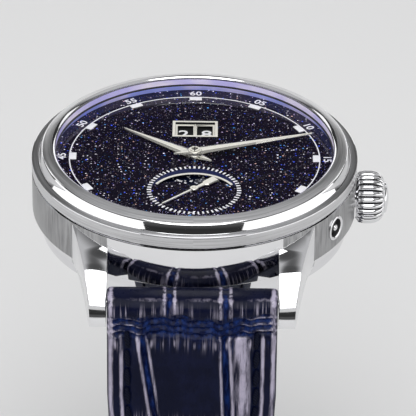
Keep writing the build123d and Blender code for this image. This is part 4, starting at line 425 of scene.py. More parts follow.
def coated_ring():
    """Polished ring round the dial, painted lilac with a painted glow: a painted reflection of the crystal's
    coating above it.
    """
    paint = Paint("coated_ring")
    cloud = paint.noise(paint.place(), scale=0.15)
    lilac = paint.mix(cloud.ramp(0.4, 0.6), (0.36, 0.42, 0.98), (0.66, 0.62, 1.0))
    # The lilac colour and its emission are a painted reflection, not the ring's own colour.
    return paint.finish(
        base_color=lilac, roughness=0.22, coat_weight=0.6, emission_color=lilac, emission_strength=0.28
    )


def gasket_black():
    """Black seal."""
    return grained("gasket_black", (0.02, 0.02, 0.022), (0.04, 0.04, 0.044), scale=4.0, roughness=0.6)


def striped_nickel():
    """Nickelled movement plate with straight stripes."""
    paint = Paint("striped_nickel")
    slant = math.radians(35)
    stripe = paint.wave(paint.place(turn=slant), 0.16, 0.0, wave_profile="SAW", bands_direction="X")
    lines = paint.noise(paint.place((8, 0.4, 8), slant), scale=2.0, detail=3.0)
    return paint.finish(
        base_color=paint.mix(lines, (0.58, 0.56, 0.52), (0.74, 0.72, 0.68)),
        metallic=1.0,
        roughness=stripe.ramp(0, 1, 0.16, 0.34),
        normal=paint.bump(stripe + lines * 0.15, 0.02 * MM, strength=0.5),
    )


def gilt_brass():
    """Gilt wheels, finely grained."""
    dark, pale, rough = (0.66, 0.44, 0.16), (0.83, 0.62, 0.30), (0.3, 0.7, 0.2, 0.32)
    return grained("gilt_brass", dark, pale, 3.0, detail=3.0, stretch=(4, 4, 1), rough=rough, metallic=1.0)


def blued_steel():
    """Heat-blued screws and spring."""
    dark, pale = (0.04, 0.08, 0.38), (0.09, 0.15, 0.55)
    return grained("blued_steel", dark, pale, scale=3.0, metallic=1.0, roughness=0.16)


def ruby():
    """Pink-red jewels."""
    return grained("ruby", (0.42, 0.01, 0.07), (0.62, 0.03, 0.14), scale=2.0, roughness=0.08, coat_weight=1.0)


def scaled_leather(tint):
    """Glazed leather: blue in the furrows between its scales, with fine wrinkles and pores, and painted
    highlights in a pale tint where the strap marks them, which also get more coat.
    """
    painted_highlight_tint, dark_blue, blue = (0.36, 0.33, 0.43), (0.003, 0.006, 0.036), (0.012, 0.036, 0.17)
    paint = Paint("scaled_leather")
    where = paint.place()
    furrow, gloss_and_painted_highlight, pleat = (paint.attribute(name) for name in ("furrow", "gloss_and_painted_highlight", "pleat"))
    pores = paint.cells(where, scale=5.5)
    wrinkles = paint.noise(paint.place((1, 1, 0.35)), scale=1.6, detail=4.0, roughness=0.6)
    cloud = paint.noise(where, scale=0.3, detail=4.0, roughness=0.6)
    painted_highlight_streaks = paint.noise(paint.place((1.5, 1.5, 0.16)), scale=1.0, detail=4.0, roughness=0.65)
    creases = paint.noise(paint.place((4.4, 0.14, 0.14)), scale=1.0, detail=1.0)
    folds = pleat * creases.ramp(0.52, 0.66)
    # The shine adds coat gloss and also a painted highlight; pleat folds add to it.
    shine_and_painted_highlight = (gloss_and_painted_highlight * painted_highlight_streaks.ramp(0.32, 0.6, 0.5, 1.2)).ramp(0.25, 1.0)
    shine_and_painted_highlight = shine_and_painted_highlight + (1 - shine_and_painted_highlight) * folds * 0.6
    ground = paint.mix(cloud.ramp(0.42, 0.66), tint, dimmed(tint, 1.5))
    # Painted highlight: the pale tint mixed into the colour where the shine is.
    ridge = paint.mix(shine_and_painted_highlight * cloud.ramp(0.25, 0.55, 0.6, 1.0), ground, painted_highlight_tint)
    valley = paint.mix(wrinkles.ramp(0.4, 0.7), dark_blue, blue)
    return paint.finish(
        base_color=paint.mix(furrow * (1 - shine_and_painted_highlight), ridge, valley),
        roughness=wrinkles.ramp(0.3, 0.7, 0.25, 0.4),
        specular=0.05,
        coat_weight=shine_and_painted_highlight * 0.6 + 0.02,
        coat_roughness=0.12,
        coat_ior=1.7,
        normal=paint.bump(wrinkles * 0.75 + pores * 0.25 + folds * 2.5, 0.035 * MM, strength=0.55),
    )


def lining_leather():
    """Smooth matt calf on the side of the strap that meets the wrist."""
    paint = Paint("lining_leather")
    pores = paint.cells(paint.place(), scale=4.0)
    cloud = paint.noise(paint.place(), scale=0.4, detail=3.0)
    return paint.finish(
        base_color=paint.mix(cloud, (0.012, 0.016, 0.042), (0.026, 0.032, 0.075)),
        roughness=0.55,
        normal=paint.bump(pores, 0.04 * MM, strength=0.5),
    )


def sewing_thread(tint):
    """Waxed thread with the twist of its plies."""
    paint = Paint("sewing_thread")
    twist = paint.wave(paint.place(), 1.6, 1.0, bands_direction="DIAGONAL")
    return paint.finish(
        base_color=paint.mix(twist, dimmed(tint, 0.5), dimmed(tint, 1.8)),
        roughness=0.6,
        specular=0.05,
        normal=paint.bump(twist, 0.04 * MM, strength=0.8),
    )


def pale_floor(tint):
    """Matt pale floor."""
    return grained("pale_floor", dimmed(tint, 0.985), tint, scale=0.01, roughness=0.7)


materials = {}


# Modelling helpers


def deselect():
    if bpy.context.object and bpy.context.object.mode != "OBJECT":
        bpy.ops.object.mode_set(mode="OBJECT")
    bpy.ops.object.select_all(action="DESELECT")


def only(piece):
    """Make one object the selected and active one."""
    deselect()
    piece.select_set(True)
    bpy.context.view_layer.objects.active = piece
    return piece


def edit(piece):
    only(piece)
    bpy.ops.object.mode_set(mode="EDIT")
    bpy.ops.mesh.select_all(action="SELECT")


def leave():
    bpy.ops.object.mode_set(mode="OBJECT")


def extrude(x, y, z):
    """Extrude what is selected in edit mode."""
    bpy.ops.mesh.extrude_region_move(TRANSFORM_OT_translate={"value": (x, y, z)})


def settle(piece):
    """Put a finished piece's place into its mesh, with its doubles merged and normals outward."""
    only(piece)
    bpy.ops.object.transform_apply(location=True, rotation=True, scale=True)
    edit(piece)
    bpy.ops.mesh.remove_doubles(threshold=WELD)
    bpy.ops.mesh.normals_make_consistent(inside=False)
    leave()
    return piece


def apply_modifier(piece, kind, **settings):
    only(piece)
    modifier = piece.modifiers.new(kind.title(), kind)
    for key, value in settings.items():
        setattr(modifier, key, value)
    bpy.ops.object.modifier_apply(modifier=modifier.name)
    return piece


def soften(piece, width, segments=2, angle=25.0):
    """Round a piece's edges that are sharper than an angle in degrees."""
    limit = {"limit_method": "ANGLE", "angle_limit": math.radians(angle)}
    return apply_modifier(piece, "BEVEL", width=width, segments=segments, use_clamp_overlap=True, **limit)


def smooth(piece, angle=35.0):
    only(piece)
    bpy.ops.object.shade_smooth_by_angle(angle=math.radians(angle))
    return piece


def cut(piece, tool, operation="DIFFERENCE"):
    """Take a tool's shape out of a piece, or join it on."""
    apply_modifier(piece, "BOOLEAN", operation=operation, solver="EXACT", object=tool)
    bpy.data.objects.remove(tool)
    return piece


def copied(pattern):
    """A copy of a piece with a mesh of its own."""
    piece = bpy.data.objects.new(pattern.name, pattern.data.copy())
    bpy.context.scene.collection.objects.link(piece)
    return piece


def join(pieces):
    deselect()
    for piece in pieces:
        piece.select_set(True)
    bpy.context.view_layer.objects.active = pieces[0]
    bpy.ops.object.join()
    return bpy.context.object


def chain(points):
    """A line through points, extruded vertex by vertex."""
    deselect()
    bpy.ops.mesh.primitive_plane_add(size=MM)
    piece = bpy.context.object
    edit(piece)
    bpy.ops.mesh.merge(type="CENTER")
    bpy.ops.transform.translate(value=points[0])
    for before, after in zip(points, points[1:]):
        extrude(*(Vector(after) - Vector(before)))
    leave()
    return piece


def refined(node, width, segments=2, angle=30.0):
    """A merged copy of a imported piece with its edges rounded."""
    piece = copied(frame["nodes"][node])
    only(piece)
    bpy.ops.mesh.customdata_custom_splitnormals_clear()
    edit(piece)
    bpy.ops.mesh.remove_doubles(threshold=WELD / 4)
    bpy.ops.mesh.dissolve_limited(angle_limit=math.radians(1))
    leave()
    return smooth(soften(piece, width, segments, angle), angle)


def lay_finishes(piece, pick):
    """Give each face the finish whose number pick chooses from its middle, in millimetres, and normal."""
    for face in piece.data.polygons:
        face.material_index = pick(face.center / MM, face.normal)


def lathe(profile, steps=160, closed=True):
    """A profile of radius and height turned round the watch's axis."""
    points = [(radius, 0, height) for radius, height in profile]
    piece = chain(points + points[:1] if closed else points)
    edit(piece)
    bpy.ops.mesh.spin(steps=steps, angle=FULL_TURN, center=(0, 0, 0), axis=(0, 0, 1))
    leave()
    return settle(piece)


def sculpted_grid(columns, rows, place):
    """A grid whose vertices go where place says, from arrays of their shares across and along."""
    deselect()
    bpy.ops.mesh.primitive_grid_add(x_subdivisions=columns, y_subdivisions=rows, size=1)
    piece = bpy.context.object
    flat = np.empty(len(piece.data.vertices) * 3)
    piece.data.vertices.foreach_get("co", flat)
    shares = flat.reshape(-1, 3)[:, :2] + 0.5
    piece.data.vertices.foreach_set("co", place(shares[:, 0], shares[:, 1]).ravel())
    piece.data.update()
    return piece


def on_dial(piece, away=ORIGIN, clock=0.0, centre=ORIGIN):
    """Move a piece away from the dial's middle, turn it clockwise and shift it to another centre."""
    turn = Matrix.Rotation(-clock, 4, "Z")
    piece.data.transform(Matrix.Translation(centre) @ turn @ Matrix.Translation(away))
    piece.data.update()
    return piece


def ring_of(pattern, count, away, centre=ORIGIN, start=0.0):
    """Copies of a piece at even steps round a centre on the dial, as one piece that replaces it."""
    clocks = [start + FULL_TURN * number / count for number in range(count)]
    pieces = [on_dial(copied(pattern), away, clock, centre) for clock in clocks]
    bpy.data.objects.remove(pattern)
    return join(pieces)


def boxed(wide, long, deep, where=Matrix()):
    """A block of a width, length and depth, at a place."""
    deselect()
    bpy.ops.mesh.primitive_cube_add(size=1)
    block = bpy.context.object
    block.data.transform(where @ Matrix.Diagonal((wide, long, deep, 1)))
    return block


def ball(segments, rings, size=(1, 1, 1)):
    """A ball of half sizes along the three axes."""
    deselect()
    bpy.ops.mesh.primitive_uv_sphere_add(segments=segments, ring_count=rings, radius=1)
    piece = bpy.context.object
    piece.data.transform(Matrix.Diagonal((*size, 1)))
    return piece


def lettering(text, height, raise_by, stretch):
    """A number as a thin solid, centred on the origin and stretched in width."""
    capital_share, weight_share = 0.72, 0.02
    deselect()
    bpy.ops.object.text_add()
    letters = bpy.context.object.data
    letters.body = text
    letters.size = height / capital_share
    letters.align_x = "CENTER"
    letters.align_y = "CENTER"
    letters.extrude = raise_by / 2
    letters.offset = weight_share * height
    letters.resolution_u = 4
    bpy.ops.object.convert(target="MESH")
    piece = bpy.context.object
    piece.data.transform(Matrix.Diagonal((stretch, 1, 1, 1)))
    return piece


def dress(piece, name, body, finish, replaced=()):
    """Name a piece, give it its finishes and body, and hide what it stands for."""
    piece.name = name
    piece.data.materials.clear()
    for key in finish.split():
        piece.data.materials.append(materials[key])
    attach(piece, body)
    if replaced:
        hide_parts(*replaced)
    return piece


class MixMaterials(bpy.types.Operator):
    """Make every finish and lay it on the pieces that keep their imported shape"""

    bl_idname = "watch.materials"
    bl_label = "Finishes"

    def execute(self, context):
        shades = context.scene.watch_colours
        steel = tuple(shades.steel)
        bright = tuple(shades.hands)
        materials.update(
            polished=polished_steel("polished_steel", dimmed(steel, 1.25), 0.05),
            upright=brushed_steel("upright_satin", steel, (0.25, 0.25, 7), 0.28),
            turned=turned_steel(steel),
            flank=brushed_steel("flank_satin", dimmed(steel, 0.66), (0.5, 0.5, 0.05), 0.34, 0.008 * MM),
            bright=polished_steel("bright_hand_steel", dimmed(bright, 0.6), 0.24),
            ivory=ivory_steel(bright),
            ground=ground_sapphire(),
            coated=coated_ring(),
            stone=sparkling_stone(tuple(shades.stone)),
            white=printed("white_print", tuple(shades.prints)),
            blue_print=printed("blue_print", (0.0005, 0.006, 0.062)),
            night=night_disc(),
            moon=cratered_moon(),
            black=black_disc(),
            crystal=coated_crystal(),
            gasket=gasket_black(),
            nickel=striped_nickel(),
            brass=gilt_brass(),
            blued=blued_steel(),
            ruby=ruby(),
            leather=scaled_leather(tuple(shades.leather)),
            lining=lining_leather(),
            thread=sewing_thread(tuple(shades.thread)),
            floor=pale_floor(tuple(shades.floor)),
        )
        by_slot = {
            "steel_satin": "upright",
            "steel_polished": "polished",
            "sapphire": "crystal",
            "gasket": "gasket",
            "aventurine": "stone",
            "white_print": "white",
            "bright_steel": "bright",
            "disc_black": "black",
            "moon_blue": "night",
            "nickel": "nickel",
            "brass": "brass",
            "blued": "blued",
            "ruby": "ruby",
            "leather": "lining",
        }
        finishes = {part["node"]: by_slot[part["material_slot"]] for part in frame["record"]["subparts"]}
        finishes.update(rehaut_ring="coated", hour_wheel="polished")
        for node, piece in frame["nodes"].items():
            for holder in piece.material_slots:
                holder.material = materials[finishes[node]]
        return {"FINISHED"}


class MakeDialPrint(bpy.types.Operator):
    """Print the minute ring, numerals, plots and small seconds on the dial"""

    bl_idname = "watch.dial_print"
    bl_label = "Dial print"

    def execute(self, context):
        size = context.scene.watch_sizes
        inner = size.ring_radius - size.ring_width / 2
        outer = size.ring_radius + size.ring_width / 2
        top = dial_top + size.print_height
        middle = dial_top + size.print_height / 2
        ring = lathe([(inner, dial_top), (outer, dial_top), (outer, top), (inner, top)], steps=240)
        dress(ring, "minute_ring", "watch", "white")

        plot = soften(boxed(size.plot_width, size.plot_length, size.plot_height), 0.03 * MM)
        radius = inner - size.plot_length / 2
        plots = ring_of(plot, 12, Vector((0, radius, dial_top + size.plot_height / 2)))
        dress(smooth(plots), "five_minute_plots", "watch", "white", ["hour_markers"])

        stretch = 1.12
        away = Vector((0, size.numeral_radius, middle))
        numerals = []
        for number in range(1, 13):
            numeral = lettering(f"{number * 5:02d}", size.numeral_height, size.print_height, stretch)
            numerals.append(on_dial(numeral, away, FULL_TURN * number / 12))
        dress(join(numerals), "minute_numerals", "watch", "white")

        tick_count, broad_every, broad = 60, 5, 1.35
        pattern = boxed(size.tick_width, size.tick_length, size.print_height)
        away = Vector((0, size.tick_radius, middle))
        ticks = []
        for number in range(tick_count):
            tick = copied(pattern)
            if number % broad_every == 0:
                tick.data.transform(Matrix.Diagonal((broad, 1, 1, 1)))
            ticks.append(on_dial(tick, away, FULL_TURN * number / tick_count, second_place))
        bpy.data.objects.remove(pattern)
        dress(join(ticks), "seconds_ticks", "watch", "white")
        return {"FINISHED"}


def hand_blank(stations, low, high, flat_share):
    """A hand along +Y with a flat ridge on top: stations are its reach and half width in millimetres."""
    reach, halves = np.array(stations).T * MM
    edge = low + (high - low) * 0.35

    def place(across, along):
        row = np.rint(along * (len(stations) - 1)).astype(int)
        column = np.rint(across * 3).astype(int)
        share = np.array([-1, -flat_share, flat_share, 1])[column]
        height = np.array([edge, high, high, edge])[column]
        return np.stack([halves[row] * share, reach[row], height], 1)

    piece = sculpted_grid(3, len(stations) - 1, place)
    edit(piece)
    extrude(0, 0, low - edge)
    leave()
    for vertex in piece.data.vertices:
        if vertex.co.z < edge - WELD / 4 or (vertex.co.z > edge + WELD and vertex.select):
            vertex.co.z = low
    return settle(piece)


def hub(radius, low, high, crown):
    """A round boss of a hand, its edge slanted over crown."""
    profile = [(0, low), (radius, low), (radius, high - crown), (radius - crown, high), (0, high)]
    return lathe(profile, steps=40, closed=False)


def on_hand(middle, normal):
    """Frosted on the flat of a hand and bright on its slopes."""
    return 0 if normal.z > 0.995 else 1


class MakeHands(bpy.types.Operator):
    """Model the faceted hour, minute and small seconds hands with their nut"""

    bl_idname = "watch.hands"
    bl_label = "Hands"

    def main_hand(self, node, clock, reach, tail, half):
        """The hour or minute hand; reach, tail and half width in millimetres."""
        low, high = (corner.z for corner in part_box(node))
        tip = [(reach - 0.3, 0.09), (reach, 0.02)]
        stations = [(-tail, 0.07), (0.3, half), (reach * 0.5, half * 0.58), *tip]
        blade = on_dial(hand_blank(stations, low, high, 0.5), clock=clock)
        boss = hub(0.86 * MM, low, high + 0.06 * MM, 0.06 * MM)
        hand = smooth(soften(join([blade, boss]), 0.012 * MM, segments=1), angle=12)
        dress(hand, "faceted_" + node, node + "_set", "ivory bright", [node])
        lay_finishes(hand, on_hand)

    def seconds_hand(self, clock):
        node = "small_seconds_hand"
        low, high = (corner.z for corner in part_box(node))
        paddle = [(-3.6, 0.58), (-3.45, 0.62), (-1.95, 0.56), (-1.6, 0.26)]
        blade = hand_blank([*paddle, (0, 0.17), (5.0, 0.13), (5.33, 0.05)], low, high, 0.8)
        boss = hub(0.52 * MM, low, high + 0.07 * MM, 0.05 * MM)
        pivot = hub(0.2 * MM, high, high + 0.16 * MM, 0.04 * MM)
        hand = join([on_dial(blade, clock=clock), boss, pivot])
        smooth(on_dial(hand, second_place), angle=12)
        dress(hand, "faceted_seconds_hand", "seconds_set", "ivory bright", [node])
        lay_finishes(hand, on_hand)

    def nut(self):
        """The round nut with its sunk middle and a screwdriver slot."""
        low, high = (corner.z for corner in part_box("hand_nut"))
        radius, recess_radius, recess_deep = 0.59 * MM, 0.42 * MM, 0.1 * MM
        recess = high - recess_deep
        profile = [
            (0, low),
            (radius, low),
            (radius, high - 0.05 * MM),
            (radius - 0.06 * MM, high),
            (recess_radius, high),
            (recess_radius - 0.04 * MM, recess),
            (0, recess),
        ]
        slot = boxed(0.13 * MM, 3 * radius, 0.3 * MM, Matrix.Translation((0, 0, high)))
        nut = smooth(cut(lathe(profile, steps=48, closed=False), slot), angle=25)
        dress(nut, "polished_nut", "minute_hand_set", "ivory bright black", ["hand_nut"])
        rim_from, slot_to, slot_reach = high / MM - 0.04, recess / MM - 0.01, 0.5

        # Painted shade: the bottom of the screwdriver slot gets black lacquer.
        def on_nut(middle, normal):
            if middle.z > rim_from:
                return 0
            return 2 if middle.z < slot_to and math.hypot(middle.x, middle.y) < slot_reach else 1

        lay_finishes(nut, on_nut)

    def execute(self, context):
        size = context.scene.watch_sizes
        self.main_hand("hour_hand", size.hour_angle, reach=10.98, tail=2.6, half=0.95)
        self.main_hand("minute_hand", size.minute_angle, reach=15.5, tail=2.7, half=0.9)
        self.seconds_hand(size.second_angle)
        self.nut()
        return {"FINISHED"}


class MakeMoonArc(bpy.types.Operator):
    """Model the polished bow over the moon and the blue crescent round it"""

    bl_idname = "watch.moon_arc"
    bl_label = "Moon bow"

    def execute(self, context):
        size = context.scene.watch_sizes
        low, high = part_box("moon_arc")
        reach = (high.x - low.x) / 2 + 0.1 * MM
        top = high.y - 0.42 * MM
        rise, wide, thick = 2.68 * MM, 0.30 * MM, 0.11 * MM
        bow_radius = (reach**2 + rise**2) / (2 * rise)
        bow_centre = top - bow_radius
        half_angle = math.asin(reach / bow_radius)

        def bow(across, along):
            angle = half_angle * (2 * along - 1)
            radius = bow_radius - wide * (1 - across)
            y = bow_centre + radius * np.cos(angle)
            return np.stack([radius * np.sin(angle), y, np.full_like(y, low.z)], 1)

        strip = sculpted_grid(1, 60, bow)
        edit(strip)
        extrude(0, 0, thick)
        leave()
        smooth(soften(settle(strip), 0.04 * MM, segments=2), angle=30)
        dress(strip, "polished_moon_bow", "watch", "ivory", ["moon_arc"])

        rim, rim_half_angle, gap = 5.16 * MM, math.radians(74), 0.02 * MM
        lift = dial_top + size.print_height / 2

        def crescent(across, along):
            angle = rim_half_angle * (2 * along - 1)
            x, outer = rim * np.sin(angle), rim * np.cos(angle) + second_place.y
            inner = bow_centre + np.sqrt(np.maximum(bow_radius**2 - x**2, 0)) + gap
            y = outer + (np.minimum(inner, outer) - outer) * (1 - across)
            return np.stack([x, y, np.full_like(y, lift)], 1)

        band = sculpted_grid(1, 60, crescent)
        apply_modifier(band, "SOLIDIFY", thickness=size.print_height / 2, offset=-1)
        dress(settle(band), "blue_band", "watch", "blue_print")
        return {"FINISHED"}


def star_blank(thick):
    """A flat star of radius 1 with four points."""
    deselect()
    bpy.ops.mesh.primitive_cylinder_add(vertices=8, radius=1, depth=thick)
    star = bpy.context.object
    for vertex in star.data.vertices:
        if round(math.atan2(vertex.co.y, vertex.co.x) / math.radians(45)) % 2:
            vertex.co.xy *= 0.5
    return star


class MakeDiscs(bpy.types.Operator):
    """Model the figures of the date discs and the moons and stars of the moon disc"""

    bl_idname = "watch.discs"
    bl_label = "Discs"

    def date_figures(self, node, body, side, figures, thick):
        """Figures round one date disc; side is +1 on the disc right of the window's middle."""
        window_reach, digit_height, shift, stretch = 1.42 * MM, 1.75 * MM, -0.2 * MM, 1.15
        low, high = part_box(node)
        centre = Vector(((low.x + high.x) / 2, (low.y + high.y) / 2, high.z + thick / 2))
        away = Vector((-side * (abs(centre.x) - window_reach), shift, 0))
        digits = []
        for number, figure in enumerate(figures):
            digit = lettering(figure, digit_height, thick, stretch)
            digits.append(on_dial(digit, away, FULL_TURN * number / len(figures), centre))
        dress(join(digits), node + "_figures", body, "white")

    def night_sky(self, thick):
        """Two moons opposite each other, and stars strewn clear of them."""
        moon_radius, moon_rise, moon_orbit, moon_clock = 0.78 * MM, 0.07 * MM, 3.15 * MM, math.radians(13.5)
        top = Vector((0, 0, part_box("moon_disc")[1].z))
        moon = ball(40, 20, (moon_radius, moon_radius, moon_rise))
        away = Vector((0, moon_orbit, 0))
        moons = ring_of(moon, 2, away, second_place + top, moon_clock)
        dress(smooth(moons), "moons", "moon_set", "moon")

        draw = random.Random(11)
        inner, outer, clear = 1.0, 4.5, 1.0 * MM
        spots = [moon_orbit * Vector((math.sin(a), math.cos(a))) for a in (moon_clock, moon_clock + math.pi)]
        pattern = star_blank(thick)
        stars = []
        for _ in range(230):
            radius = math.sqrt(draw.uniform(inner**2, outer**2)) * MM
            clock = draw.uniform(0, FULL_TURN)
            reach = draw.choice((0.09, 0.13, 0.17, 0.24)) * MM
            place = radius * Vector((math.sin(clock), math.cos(clock)))
            if min((place - spot).length for spot in spots) < clear:
                continue
            star = copied(pattern)
            star.data.transform(Matrix.Diagonal((reach, reach, 1, 1)))
            away = Vector((0, radius, thick / 2))
            stars.append(on_dial(star, away, clock, second_place + top))
        bpy.data.objects.remove(pattern)
        dress(join(stars), "stars", "moon_set", "white")

    def execute(self, context):
        thick = context.scene.watch_sizes.print_height
        self.date_figures("date_units_disc", "date_units_set", 1, "8901234567", thick)
        self.date_figures("date_tens_disc", "date_tens_set", -1, "23012301", thick)
        self.night_sky(thick)
        return {"FINISHED"}


class MakeCrystal(bpy.types.Operator):
    """Model the domed crystal with its ground edge"""

    bl_idname = "watch.crystal"
    bl_label = "Crystal"

    def execute(self, context):
        low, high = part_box("crystal")
        radius = min(high.x, bezel_bore - 0.02 * MM)
        dome, shoulder, drop, facet = 0.8 * MM, 0.3 * MM, 0.3 * MM, 0.02 * MM
        edge = high.z - dome
        rows = 9
        shares = [number / rows for number in range(rows)]
        profile = [(radius * share, high.z - dome * share**2) for share in shares]
        profile += [(radius - shoulder, edge + facet), (radius, edge - drop), (radius, low.z)]
        crystal = smooth(lathe(profile, closed=False), angle=40)
        dress(crystal, "domed_crystal", "watch", "crystal ground", ["crystal"])
        lay_finishes(crystal, lambda middle, normal: 1 if abs(normal.z) < 0.1 else 0)
        return {"FINISHED"}


class MakeCase(bpy.types.Operator):
    """Turn the bezel, and round and finish the case with its lugs and the case back"""

    bl_idname = "watch.case"
    bl_label = "Case"

    def bezel(self):
        """A polished step with a brushed slope, over a flange that is as wide as the case."""
        low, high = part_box("bezel")
        radius, top = high.x, high.z
        lip, wall = bezel_bore + 0.35 * MM, 19.15 * MM
        seat, skirt = 17.9 * MM, 18.6 * MM
        flange, ledge = dial_top + 0.41 * MM, dial_top + 0.75 * MM
        profile = [
            (bezel_bore, ledge),
            (bezel_bore, top - 0.05 * MM),
            (lip, top + 0.18 * MM),
            (wall - 0.46 * MM, top - 0.26 * MM),
            (wall - 0.34 * MM, top - 0.42 * MM),
            (wall, flange),
            (radius, flange),
            (radius, low.z),
            (skirt, low.z),
            (skirt, dial_top),
            (seat, dial_top),
            (seat, ledge),
        ]
        bezel = smooth(soften(lathe(profile, steps=240), 0.07 * MM, segments=2, angle=12), angle=20)
        dress(bezel, "turned_bezel", "watch", "polished turned", ["bezel"])
        slope_from, slope_to, shelf_from = lip / MM, wall / MM - 0.4, wall / MM
        side_from = radius / MM - 0.05

        def on_bezel(middle, normal):
            reach = math.hypot(middle.x, middle.y)
            slope = normal.z > 0.9 and slope_from < reach < slope_to
            shelf = normal.z > 0.99 and reach > shelf_from
            side = abs(normal.z) < 0.05 and reach > side_from
            return int(slope or shelf or side)

        lay_finishes(bezel, on_bezel)

    def middle(self):
        """The case middle, brushed on its flanks between the lugs."""
        case = refined("case_middle", 0.09 * MM)
        dress(case, "finished_case", "watch", "polished flank", ["case_middle"])
        flank_from, reach = strap_half_width / MM + 0.4, case_radius / MM

        def on_case(middle, normal):
            flank = abs(math.hypot(middle.x, middle.y) - reach) < 0.1 and abs(normal.z) < 0.2
            return int(flank and abs(middle.x) > flank_from)

        lay_finishes(case, on_case)

    def execute(self, context):
        self.bezel()
        self.middle()
        back = refined("case_back", 0.07 * MM)
        dress(back, "finished_case_back", "watch", "polished turned", ["case_back"])
        lay_finishes(back, lambda middle, normal: int(normal.z < -0.98))
        return {"FINISHED"}


class MakeCrown(bpy.types.Operator):
    """Model the fluted crown and the recessed corrector"""

    bl_idname = "watch.crown"
    bl_label = "Crown"

    def crown(self):
        """A turned knob whose side is waved into flutes, with painted shade in its grooves: they take the
        black lacquer.
        """
        low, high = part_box("crown")
        centre_z = (low.z + high.z) / 2
        radius = (high.z - low.z) / 2
        span = high.x - low.x
        flutes, per_flute, flute_deep = 24, 8, 0.105
        bore, bore_depth = 1.45 * MM / radius, 2.3 * MM / span
        # Shares of the crown's length, of its radius and of the flutes' depth, from its bore to its end
        row_shares = (
            (bore_depth, 0.0, 0),
            (bore_depth, bore, 0),
            (0.0, bore, 0),
            (0.0, 0.80, 0),
            (0.05, 0.86, 0),
            (0.06, 0.90, 0.5),
            (0.10, 0.955, 1),
            (0.28, 1.0, 1),
            (0.46, 0.995, 1),
            (0.60, 0.96, 1),
            (0.71, 0.89, 1),
            (0.79, 0.79, 0.9),
            (0.835, 0.69, 0.6),
            (0.85, 0.63, 0),
            (0.86, 0.60, 0),
            (0.90, 0.585, 0),
            (0.925, 0.55, 0),
            (0.945, 0.42, 0),
            (0.98, 0.26, 0),
            (1.0, 0.0, 0),
        )
        along_share, reach_share, flute_share = np.array(row_shares).T

        def place(across, along):
            row = np.rint(along * (len(row_shares) - 1)).astype(int)
            turn = across * FULL_TURN
            lobe = np.abs(np.sin(turn * flutes / 2)) ** 0.7
            reach = radius * reach_share[row] * (1 - flute_deep * flute_share[row] * (1 - lobe))
            x = low.x + span * along_share[row]
            return np.stack([x, reach * np.sin(turn), centre_z + reach * np.cos(turn)], 1)

        crown = settle(sculpted_grid(flutes * per_flute, len(row_shares) - 1, place))
        dress(smooth(crown, 42), "fluted_crown", "crown_set", "polished black", ["crown"])
        groove_from, groove_to = (low.x + 0.07 * span) / MM, (low.x + 0.80 * span) / MM

        # Painted shade: the grooves get black lacquer though the crown is steel all over.
        def on_crown(middle, normal):
            turn = math.atan2(middle.y, middle.z - centre_z / MM)
            groove_shade = abs(math.sin(turn * flutes / 2)) < 0.36
            return int(groove_shade and groove_from < middle.x < groove_to)

        lay_finishes(crown, on_crown)

    def corrector(self):
        """A collar in the flank with a slim button sunk in it, turned upright, then put in place."""
        low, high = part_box("corrector_tube")
        side = math.radians(-30.7)
        outward = Vector((math.cos(side), math.sin(side), 0))
        face = outward * (case_radius - 0.05 * MM) + Vector((0, 0, (low.z + high.z) / 2))
        stand = Matrix.Translation(face) @ outward.to_track_quat("Z", "Y").to_matrix().to_4x4()
        outer, wall, sink, rise = 1.55 * MM, 0.38 * MM, 1.2 * MM, 0.2 * MM
        inner = outer - wall
        collar = [
            (outer, -sink),
            (outer, 0.12 * MM),
            (outer - 0.1 * MM, rise),
            (outer - 0.22 * MM, rise),
            (inner, 0.08 * MM),
            (inner, -sink),
        ]
        foot, foot_top, button = inner - 0.08 * MM, -0.5 * MM, 0.42 * MM
        pusher = [
            (0, -sink),
            (foot, -sink),
            (foot, foot_top),
            (button, foot_top),
            (button, -0.02 * MM),
            (0.34 * MM, 0.1 * MM),
            (0.18 * MM, 0.17 * MM),
            (0, 0.18 * MM),
        ]
        dark_from, dark_to = button / MM - 0.04, inner / MM + 0.01

        # The recess round the button, with the collar's inner wall low down, is a black seal that is also
        # painted shade for the deep recess.
        def on_corrector(middle, normal):
            return int(dark_from < math.hypot(middle.x, middle.y) < dark_to and middle.z < -0.1)

        for name, profile, closed, body, node in (
            ("polished_collar", collar, True, "watch", "corrector_tube"),
            ("polished_pusher", pusher, False, "corrector_set", "corrector_pusher"),
        ):
            piece = smooth(lathe(profile, steps=48, closed=closed), angle=40)
            dress(piece, name, body, "polished gasket", [node])
            lay_finishes(piece, on_corrector)
            piece.data.transform(stand)

    def execute(self, context):
        self.crown()
        self.corrector()
        return {"FINISHED"}


